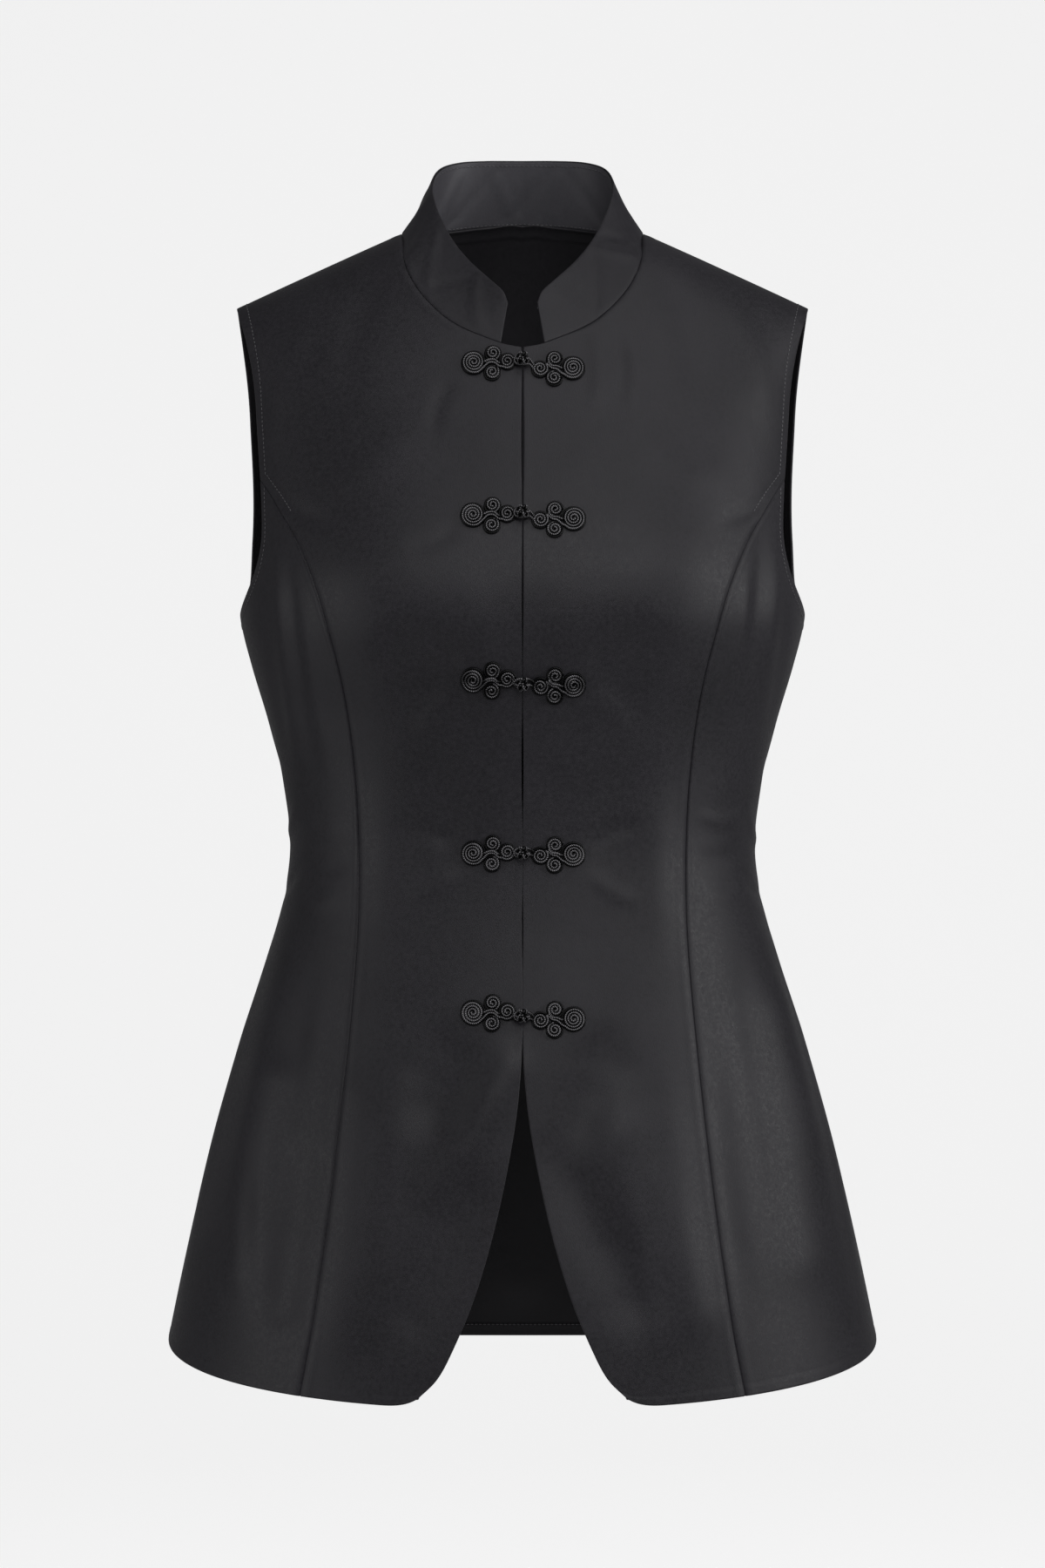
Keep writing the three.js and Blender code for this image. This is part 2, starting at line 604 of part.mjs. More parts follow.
function joined(solids) {
  const whole = solids.reduce((sum, solid) => sum.add(solid)).getMesh();
  return facingOut([...whole.vertProperties], [...whole.triVerts]);
}

// The cloth's frame at a point of the front view: across, away from the cloth, up
function clothFrame(x, z) {
  const [angle, v] = place('front', x, z);
  const origin = clothPoint('front', angle, v);
  const out = normalOf(clothPoint, 'front', angle, v);
  const across = new THREE.Vector3(1, 0, 0).addScaledVector(out, -out.x).normalize();
  const up = across.clone().cross(out).normalize().negate();
  if (up.z < 0) up.negate();
  return { origin, out, across, up };
}

const lifted = (x, z, height) => {
  const { origin, out } = clothFrame(x, z);
  return origin.addScaledVector(out, FROG_GAP + height);
};

// A flat coil of cord: a rounded outer turn round a raised middle
function coilSolid({ x, z, radius }, centreZ) {
  const { origin, out, across, up } = clothFrame(x, centreZ + z);
  origin.addScaledVector(out, FROG_GAP);
  const basis = new THREE.Matrix4().makeBasis(across, out, up.clone().negate()).setPosition(origin);
  const profile = [
    [0, 0], [radius - 0.4, 0], [radius, CORD / 2], [radius - CORD / 2, CORD],
    [radius - CORD, 0.72 * CORD], [0, 1.12 * CORD],
  ].map(([r, h]) => new THREE.Vector2(r, h));
  return asManifold(new THREE.LatheGeometry(profile, COIL_SIDES), basis);
}

function strandSolid(points, radius, steps) {
  const sides = 5;
  const section = new THREE.Shape(Array.from({ length: sides }, (_, i) => {
    const turn = (2 * Math.PI * (i + 0.5)) / sides;
    return new THREE.Vector2(radius * Math.cos(turn), radius * Math.sin(turn));
  }));
  const extrudePath = new THREE.CatmullRomCurve3(points, false, 'centripetal');
  return asManifold(new THREE.ExtrudeGeometry(section, { steps, extrudePath }), new THREE.Matrix4());
}

// The doubled cord that runs between the coils of one half, as one flat bar
function linkSolid(coils, centreZ) {
  const [big, upper, lower, small] = coils;
  const middle = { x: (upper.x + lower.x) / 2, z: (upper.z + lower.z) / 2 };
  const { origin, out, across, up } = clothFrame(middle.x, centreZ + middle.z);
  origin.addScaledVector(out, FROG_GAP + 0.15 * CORD);
  const rim = [[big, CORD], [middle, CORD], [small, CORD], [small, -CORD], [middle, -CORD], [big, -CORD]];
  const bar = new THREE.Shape(rim.map(([spot, side]) =>
    new THREE.Vector2(spot.x - middle.x, spot.z - middle.z + side)));
  const basis = new THREE.Matrix4().makeBasis(across, up, out).setPosition(origin);
  return asManifold(new THREE.ExtrudeGeometry(bar, { depth: 0.8 * CORD, bevelEnabled: false }), basis);
}

function knotGeometry({ z, knotLift }) {
  const centre = z + knotLift;
  const ball = lifted(0, z, BALL_STANDOFF);
  const shank = [
    lifted(KNOT_COILS[3].x + 1, centre + KNOT_COILS[3].z, 0.6 * CORD),
    lifted(-4, z + 0.2 * knotLift, 0.6 * CORD),
    lifted(-1.2, z, 0.45 * BALL_STANDOFF),
    ball,
  ];
  return joined([
    ...KNOT_COILS.map((coil) => coilSolid(coil, centre)),
    linkSolid(KNOT_COILS, centre),
    strandSolid(shank, 0.6 * CORD, 4),
    asManifold(new THREE.SphereGeometry(BALL, 8, 6), new THREE.Matrix4().setPosition(ball)),
  ]);
}

function loopGeometry({ z, loopLift }) {
  const centre = z + loopLift;
  const root = LOOP_COILS[3];
  const arm = (side) => [
    lifted(root.x, centre + root.z + side * 1.6, CORD / 2),
    lifted(3.5, z + side * 2.95, CORD / 2),
    lifted(-2.6, z + side * 2.9, 0.85 * CORD),
    lifted(-5.6, z + side * 1.9, 1.7 * CORD),
  ];
  const path = [...arm(1), lifted(-6.5, z, 1.95 * CORD), ...arm(-1).reverse()];
  return joined([
    ...LOOP_COILS.map((coil) => coilSolid(coil, centre)),
    linkSolid(LOOP_COILS, centre),
    strandSolid(path, 0.42 * CORD, 12),
  ]);
}

function named(name, geometry, finish) {
  const mesh = new THREE.Mesh(geometry, new THREE.MeshStandardMaterial(finish));
  mesh.name = name;
  return mesh;
}

const top = new THREE.Group();

const cloth = new THREE.Group();
cloth.add(
  named('front_left', panelGeometry('front', frontPlaces(1)), SATIN),
  named('front_right', panelGeometry('front', frontPlaces(-1)), SATIN),
  named('side_front_left', panelGeometry('front', sideFrontPlaces(1)), SATIN),
  named('side_front_right', panelGeometry('front', sideFrontPlaces(-1)), SATIN),
  named('back', panelGeometry('back', backPlaces()), SATIN),
  named('collar_outer', collarGeometry(0), SATIN),
  named('collar_inner', collarGeometry(COLLAR_LAYER + SEAM_GAP), SATIN_INSIDE),
);
top.add(cloth);

const fastenings = new THREE.Group();
FROGS.forEach((frog, i) => {
  fastenings.add(
    named(`frog_${i + 1}_knot`, knotGeometry(frog), CORD_FINISH),
    named(`frog_${i + 1}_loop`, loopGeometry(frog), CORD_FINISH),
  );
});
top.add(fastenings);

export default top;
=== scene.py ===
# %% [markdown]
# A sleeveless mandarin collar top of black satin, standing as it does when it is worn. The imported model
# gives its pieces and its size, and this lesson dresses them: five panels and a two-layer collar as
# thin shells of cloth, ten halves of knotted cord fastenings, rows of stitches, and the finishes.
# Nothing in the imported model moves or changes, so the dressed top has the same size and place.
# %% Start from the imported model
import json
import math

import bmesh
import bpy
import numpy as np
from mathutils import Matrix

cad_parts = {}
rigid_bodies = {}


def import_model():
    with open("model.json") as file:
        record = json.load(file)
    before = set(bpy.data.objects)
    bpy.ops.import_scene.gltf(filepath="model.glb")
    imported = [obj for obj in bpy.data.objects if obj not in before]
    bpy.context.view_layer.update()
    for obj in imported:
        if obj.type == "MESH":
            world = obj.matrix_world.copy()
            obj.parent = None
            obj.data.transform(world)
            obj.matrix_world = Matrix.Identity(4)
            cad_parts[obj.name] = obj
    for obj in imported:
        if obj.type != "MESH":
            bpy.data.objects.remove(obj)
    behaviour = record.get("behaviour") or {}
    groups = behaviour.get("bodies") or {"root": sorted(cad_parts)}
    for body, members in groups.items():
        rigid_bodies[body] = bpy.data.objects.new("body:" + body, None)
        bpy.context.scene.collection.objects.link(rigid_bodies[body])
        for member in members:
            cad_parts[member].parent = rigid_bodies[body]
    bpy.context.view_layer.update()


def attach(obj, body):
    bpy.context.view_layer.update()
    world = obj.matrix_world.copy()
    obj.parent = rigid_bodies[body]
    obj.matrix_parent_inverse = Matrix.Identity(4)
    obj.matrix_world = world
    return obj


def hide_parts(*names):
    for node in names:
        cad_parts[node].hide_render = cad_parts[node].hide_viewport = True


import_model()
for item in bpy.data.objects:
    item.select_set(False)
MM = 0.001

# %% [markdown]
# The camera comes first, because the photograph's view decides what has to be right. The picture is taken
# from 2.5 m in front, level with the waist, and shows 954 mm of height at the middle of the body. The
# lens follows from that: focal length over sensor height is distance over the height that is shown.
# %% Camera
DISTANCE = 2.5
SHOWN_HEIGHT = 0.954
VIEW_HEIGHT = -0.334
SENSOR = 36
camera_data = bpy.data.cameras.new("camera")
camera_data.sensor_fit = "VERTICAL"
camera_data.sensor_height = SENSOR
camera_data.lens = SENSOR * DISTANCE / SHOWN_HEIGHT
camera_data.clip_end = 50
camera = bpy.data.objects.new("camera", camera_data)
bpy.context.scene.collection.objects.link(camera)
camera.location = (0, -DISTANCE, VIEW_HEIGHT)
camera.rotation_euler = (math.radians(90), 0, 0)
bpy.context.scene.camera = camera
print("lens:", round(camera_data.lens, 1), "mm")

# %% [markdown]
# The studio is a pale floor that turns up into a pale wall. It is one plane: its far edge is extruded
# upwards in edit mode and the fold is bevelled round. Such a curve has no horizon line. The stage is
# not part of the top.
# %% Studio floor and wall
FLOOR_Z = -1.35
WALL_Y = 3.7
STUDIO_SIZE = 12
WALL_HEIGHT = 6
TURN_UP = 0.9


def deselect_all():
    for item in bpy.context.selected_objects:
        item.select_set(False)
    bpy.context.view_layer.objects.active = None


deselect_all()
bpy.ops.mesh.primitive_plane_add(size=STUDIO_SIZE, location=(0, WALL_Y - STUDIO_SIZE / 2, FLOOR_Z))
studio = bpy.context.object
studio.name = "studio"
bpy.ops.object.transform_apply(location=True, rotation=True, scale=True)
bpy.ops.object.mode_set(mode="EDIT")
bpy.ops.mesh.select_all(action="DESELECT")
edges = bmesh.from_edit_mesh(studio.data)
for edge in edges.edges:
    edge.select_set(all(vertex.co.y > WALL_Y - 0.01 for vertex in edge.verts))
bmesh.update_edit_mesh(studio.data)
bpy.ops.mesh.extrude_region_move(TRANSFORM_OT_translate={"value": (0, 0, WALL_HEIGHT)})
bpy.ops.mesh.select_all(action="DESELECT")
edges = bmesh.from_edit_mesh(studio.data)
for edge in edges.edges:
    low = all(vertex.co.z < FLOOR_Z + 0.01 for vertex in edge.verts)
    edge.select_set(low and all(vertex.co.y > WALL_Y - 0.01 for vertex in edge.verts))
bmesh.update_edit_mesh(studio.data)
bpy.ops.mesh.bevel(offset=TURN_UP, segments=16)
bpy.ops.object.mode_set(mode="OBJECT")
bpy.ops.object.shade_smooth()
print("studio faces:", len(studio.data.polygons))

# %% [markdown]
# The light is plain and soft. Where the camera sees it, the room is nearly white, and for every other ray
# it is dim, so it hardly lights the edges of the cloth. Four soft lights shape the top: the main one
# in front and above, a tall one at the right that draws the long bright sides that satin shows, a weak one
# above for the shoulders, and a low one at the left that keeps that side from going black.
# %% Light
ROOM_SEEN, ROOM_GIVEN = 0.87, 0.13
world = bpy.data.worlds.new("white room")
world.use_nodes = True
room = world.node_tree
room.nodes["Background"].inputs["Color"].default_value = (1, 1, 1, 1)
ray = room.nodes.new("ShaderNodeLightPath")
brightness = room.nodes.new("ShaderNodeMapRange")
brightness.inputs["To Min"].default_value = ROOM_GIVEN
brightness.inputs["To Max"].default_value = ROOM_SEEN
room.links.new(ray.outputs["Is Camera Ray"], brightness.inputs["Value"])
room.links.new(brightness.outputs["Result"], room.nodes["Background"].inputs["Strength"])
bpy.context.scene.world = world
bpy.context.scene.view_settings.view_transform = "Standard"


def soft_light(name, spot, aim, size, watts):
    data = bpy.data.lights.new(name, "AREA")
    data.shape = "RECTANGLE"
    data.size, data.size_y = size
    data.energy = watts
    lamp = bpy.data.objects.new(name, data)
    bpy.context.scene.collection.objects.link(lamp)
    lamp.location = spot
    towards = np.array(aim, float) - np.array(spot, float)
    flat = math.hypot(towards[0], towards[1])
    lamp.rotation_euler = (math.atan2(flat, -towards[2]), 0, math.atan2(-towards[0], towards[1]))
    return lamp


soft_light("light_main", (0.4, -2.4, 0.95), (0, 0, 0.0), (1.5, 1.5), 25)
soft_light("light_right", (1.95, -0.9, 0.15), (0, 0, -0.2), (0.6, 1.5), 26)
soft_light("light_above", (0.5, -0.9, 1.5), (0, 0, -0.2), (1.4, 0.9), 8)
soft_light("light_left", (-1.9, -1.05, -0.4), (0, 0, -0.35), (0.8, 1.6), 12)

# %% [markdown]
# The form is the body that the cloth was fitted to. Level sections give its half width, its depth to
# the front and back and how square its oval is, at each height; the numbers are those of the solids, in
# millimetres. A smooth curve through the rows of such a table is read at any height.
# %% Tables of the form
CHEST_LINE = -110
SHOULDER_RUN = 120
NECK_POINT = 73.8
SHOULDER_TIP = 173.3
SHOULDER_SEAM_Y = -5
TOP_WIDTH = 185
ARMHOLE_BOTTOM = -234
VENT_TOP = -475
SIDE_HEM = -668
PRINCESS_TOP = -152
HEM_DROP = {"front": 26, "back": 20}

# Height, half width, depth to the front, depth to the back, squareness
SECTIONS = np.array([
    (-705, 222.0, 139, 143, 2.10), (-620, 204.6, 130, 132, 2.12), (-552, 188.7, 121, 120, 2.15),
    (-495, 172.3, 112, 107, 2.18), (-438, 154.5, 102, 94, 2.20), (-403, 145.0, 97, 86.5, 2.20),
    (-370, 141.2, 95, 83.5, 2.20), (-335, 145.4, 97.5, 84, 2.24), (-298, 153.7, 104, 87.5, 2.30),
    (-262, 164.4, 112.5, 91, 2.38), (-234, 171.0, 117.5, 93.5, 2.42), (-205, 171.5, 116, 95, 2.45),
    (-158, 171.5, 102.5, 95.3, 2.45), (-110, 174.0, 82.5, 91, 2.45),
])
# Height, degrees from the centre on the front, degrees on the back
ARMHOLE = np.array([
    (-234, 90.0, 90.0), (-229, 81.0, 83.5), (-219, 72.8, 77.5), (-204, 67.2, 73.5),
    (-185, 65.2, 71.5), (-152, 66.6, 70.6), (-110, 67.5, 70.2), (-55, 68.0, 69.8),
])
# Height, distance from the centre front
PRINCESS = np.array([
    (-688, 129.5), (-645, 121.5), (-540, 108.0), (-435, 98.0), (-375, 96.7), (-324, 99.3),
    (-271, 106.4), (-231, 116.5), (-208, 124.7), (-190, 133.2), (-169, 145.8),
])
FRONT_EDGE = np.array([
    (-687, 60.0), (-678, 50.5), (-665, 42.8), (-632, 28.8), (-590, 16.4), (-539, 5.8),
    (-505, 1.6), (-475, 0.2),
])
# Distance from the centre, height; then distance, depth; then distance, depth, height
FRONT_NECK = np.array([(0, -75.5), (13.4, -72.6), (37.2, -62.2), (51.7, -51), (64, -36), (71.4, -18.5)])
BACK_NECK = np.array([(0, 56), (22, 54), (42, 46.5), (59, 33), (69.5, 15.5)])
COLLAR_TOP = np.array([
    (0, 47.5, 52.5), (22, 45.5, 52.2), (39, 38.5, 50.2), (50.5, 26.5, 45), (55.3, 11, 35.5),
    (54.2, -4, 23), (48.5, -18, 7), (40.8, -30, -8), (31, -41, -21), (19, -51.5, -33),
    (11.6, -57, -40.5), (8.8, -60, -47.5),
])
COLLAR_END = 12.8
FRONT_PART = 0.22
FRONT_BOW = 0.42
FROG_HEIGHTS = (-84.9, -177.2, -274.7, -374.3, -469.6)
print("heights of the form:", SECTIONS[0, 0], "to", SECTIONS[-1, 0], "mm")

# %% [markdown]
# A table is read by a cubic between its rows, with slopes taken from the neighbours, so that no edge or
# section shows a kink at a row. The same reading gives evenly spaced points on any drawn line.
# %% Read a table as a smooth curve
def smoothstep(low, high, at):
    t = np.clip((np.asarray(at, float) - low) / (high - low), 0, 1)
    return t * t * (3 - 2 * t)


def hermite(start, leave, end, arrive, t):
    t2, t3 = t * t, t * t * t
    ends = start * (2 * t3 - 3 * t2 + 1) + end * (3 * t2 - 2 * t3)
    return ends + leave * (t3 - 2 * t2 + t) + arrive * (t3 - t2)


def read(table, column, at):
    along, value = table[:, 0], table[:, column]
    at = np.asarray(at, float)
    slope = np.empty(len(along))
    slope[1:-1] = (value[2:] - value[:-2]) / (along[2:] - along[:-2])
    slope[0] = (value[1] - value[0]) / (along[1] - along[0])
    slope[-1] = (value[-1] - value[-2]) / (along[-1] - along[-2])
    row = np.clip(np.searchsorted(along, at) - 1, 0, len(along) - 2)
    span = along[row + 1] - along[row]
    t = np.clip((at - along[row]) / span, 0, 1)
    inside = hermite(value[row], slope[row] * span, value[row + 1], slope[row + 1] * span, t)
    past = at - np.clip(at, along[0], along[-1])
    return inside + past * np.where(past < 0, slope[0], slope[-1])


def smooth_curve(points, count):
    """Evenly spaced points on a smooth curve through the given ones"""
    points = np.asarray(points, float)
    chords = np.linalg.norm(np.diff(points, axis=0), axis=1)
    knots = np.concatenate([[0], np.cumsum(np.maximum(chords, 1e-9) ** 0.6)])
    table = np.column_stack([knots, points])
    at = np.unique(np.concatenate([np.linspace(a, b, 24) for a, b in zip(knots[:-1], knots[1:])]))
    dense = np.stack([read(table, column, at) for column in range(1, table.shape[1])], -1)
    length = np.concatenate([[0], np.cumsum(np.linalg.norm(np.diff(dense, axis=0), axis=1))])
    even = np.linspace(0, length[-1], count)
    return np.stack([np.interp(even, length, dense[:, axis]) for axis in range(dense.shape[1])], -1)


print("half width at the waist:", round(float(read(SECTIONS, 1, -370)), 1), "mm")


# %% [markdown]
# A place on the form is an angle from the centre front or back and a height. Above the chest line the
# section opens into the shoulder: each point runs up and over to the shoulder seam, and on the back the
# cloth also climbs the neck. The same functions shape the solids, so cloth and solid agree.
# %% The form
def half_width(face, z):
    spread = -3.5 if face == "front" else 3
    return read(SECTIONS, 1, z) + spread * smoothstep(0, 50, np.asarray(z, float) - ARMHOLE_BOTTOM)


def shoulder_height(x):
    return -0.471 * (np.hypot(x, 30) - math.hypot(NECK_POINT, 30))


def nape_height(x, t):
    start = NECK_POINT + 40 * (1 - t)
    u = np.clip((np.abs(x) - start) / (5 - start), 0, 1)
    return 77 * u * u * (3 - 2 * u)


def width_at(face, v):
    v = np.asarray(v, float)
    level = half_width(face, np.minimum(v, CHEST_LINE))
    edge = half_width(face, CHEST_LINE)
    growth = (edge - half_width(face, CHEST_LINE - 0.5)) / 0.5
    opened = hermite(edge, growth * SHOULDER_RUN, TOP_WIDTH, 0, (v - CHEST_LINE) / SHOULDER_RUN)
    return np.where(v <= CHEST_LINE, level, opened)


def form_point(face, angle, v):
    out = -1 if face == "front" else 1
    side = 2 if face == "front" else 3
    angle, v = np.broadcast_arrays(np.asarray(angle, float), np.asarray(v, float))
    level = np.minimum(v, CHEST_LINE)
    power = 2 / read(SECTIONS, 4, level)
    across = np.sign(angle) * np.abs(np.sin(angle)) ** power
    deep = np.maximum(0, np.cos(angle)) ** power
    depth = read(SECTIONS, side, level)
    x = width_at(face, v) * across
    start_y = out * depth * deep
    t = np.clip((v - CHEST_LINE) / SHOULDER_RUN, 0, 1.05)
    lean = (read(SECTIONS, side, CHEST_LINE) - read(SECTIONS, side, CHEST_LINE - 0.5)) / 0.5
    turn = (1.15 * np.abs(start_y - SHOULDER_SEAM_Y) + 8) * -out
    top_x = TOP_WIDTH * across
    top_z = shoulder_height(top_x) + (nape_height(top_x, t) if face == "back" else 0)
    y = hermite(start_y, out * lean * deep * SHOULDER_RUN, SHOULDER_SEAM_Y, turn, t)
    z = hermite(CHEST_LINE, SHOULDER_RUN, top_z, 0.12 * turn, t)
    above = v > CHEST_LINE
    return np.stack([x, np.where(above, y, start_y), np.where(above, z, v)], -1)


def normal_of(point_at, face, angle, v):
    angle, v = np.broadcast_arrays(np.asarray(angle, float), np.asarray(v, float))
    left = np.maximum(-math.pi / 2, angle - 4e-4)
    right = np.minimum(math.pi / 2, angle + 4e-4)
    high = np.minimum(CHEST_LINE + SHOULDER_RUN, v + 0.2)
    across = point_at(face, right, v) - point_at(face, left, v)
    up = point_at(face, angle, high) - point_at(face, angle, high - 0.4)
    normal = np.cross(across, up)
    normal /= np.maximum(np.linalg.norm(normal, axis=-1, keepdims=True), 1e-12)
    return normal if face == "front" else -normal


print("shoulder tip of the form:", form_point("front", 1.19, 10).round(1))

# %% [markdown]
# Lines read from the photograph are given as they are seen: from the front, or for the shoulder seam and
# the back of the neck from above. Halving a span of heights finds the place on the form that fits.
# %% Find a place on the form from a view of it
def angle_for(face, x, v):
    power = read(SECTIONS, 4, np.minimum(v, CHEST_LINE)) / 2
    return np.sign(x) * np.arcsin(np.minimum(1, np.abs(x) / width_at(face, v)) ** power)


def search_height(face, x, reached):
    low = np.full(np.shape(x), float(CHEST_LINE))
    high = np.full(np.shape(x), float(CHEST_LINE + SHOULDER_RUN))
    for _ in range(40):
        middle = (low + high) / 2
        under = reached(form_point(face, angle_for(face, x, middle), middle))
        low, high = np.where(under, middle, low), np.where(under, high, middle)
    return low


def place(face, x, z):
    """Place of a point given in the front or back view"""
    x, z = np.broadcast_arrays(np.asarray(x, float), np.asarray(z, float))
    v = np.where(z <= CHEST_LINE, z, search_height(face, x, lambda point: point[..., 2] < z))
    return np.stack([angle_for(face, x, v), v], -1)


def place_from_above(face, x, y):
    x, y = np.broadcast_arrays(np.asarray(x, float), np.asarray(y, float))
    out = -1 if face == "front" else 1
    v = search_height(face, x, lambda point: out * point[..., 1] > out * y)
    return np.stack([angle_for(face, x, v), v], -1)


print("place of the chest:", place("front", 80, -200).round(3))

# %% [markdown]
# Worn satin is never even. Its large folds are already in the solids; here come the same ones and many
# smaller: each is a soft ridge or trough along a short curved line, given in the view that shows it, with
# its own length, width, height and slant. They are placed after the photograph, and similar
# ones go where it doesn't look. A fold fades out at both ends and where the cloth turns from the view.
# %% Folds and creases
# For each view: x and z of each point of the line, reach to each side, height (a trough is negative)
FOLDS = {
    "front": (
        (88, -214, 84, -232, 42, 4.0), (-88, -214, -84, -232, 42, 4.0), (-8, -500, -46, -566, 12, 2.2),
        (-40, -498, -52, -520, 16, -2.4), (-34, -575, -60, -640, 16, -2.6), (42, -500, 34, -525, 16, -2.4),
        (24, -552, 62, -630, 17, -2.8), (62, -540, 98, -640, 18, 2.4), (150, -470, 172, -610, 20, 3.0),
        (-148, -510, -166, -620, 15, 3.0), (-128, -560, -140, -640, 12, -2.6), (-96, -520, -108, -650, 20, 2.2),
    ),
    "back": (
        (52, -455, 74, -640, 20, 3.6), (-48, -470, -66, -650, 22, 3.4), (4, -500, -2, -650, 18, -3.0),
        (126, -480, 150, -640, 20, 2.8), (-122, -500, -148, -630, 18, 3.0), (-60, -352, 58, -362, 14, -1.8),
    ),
}
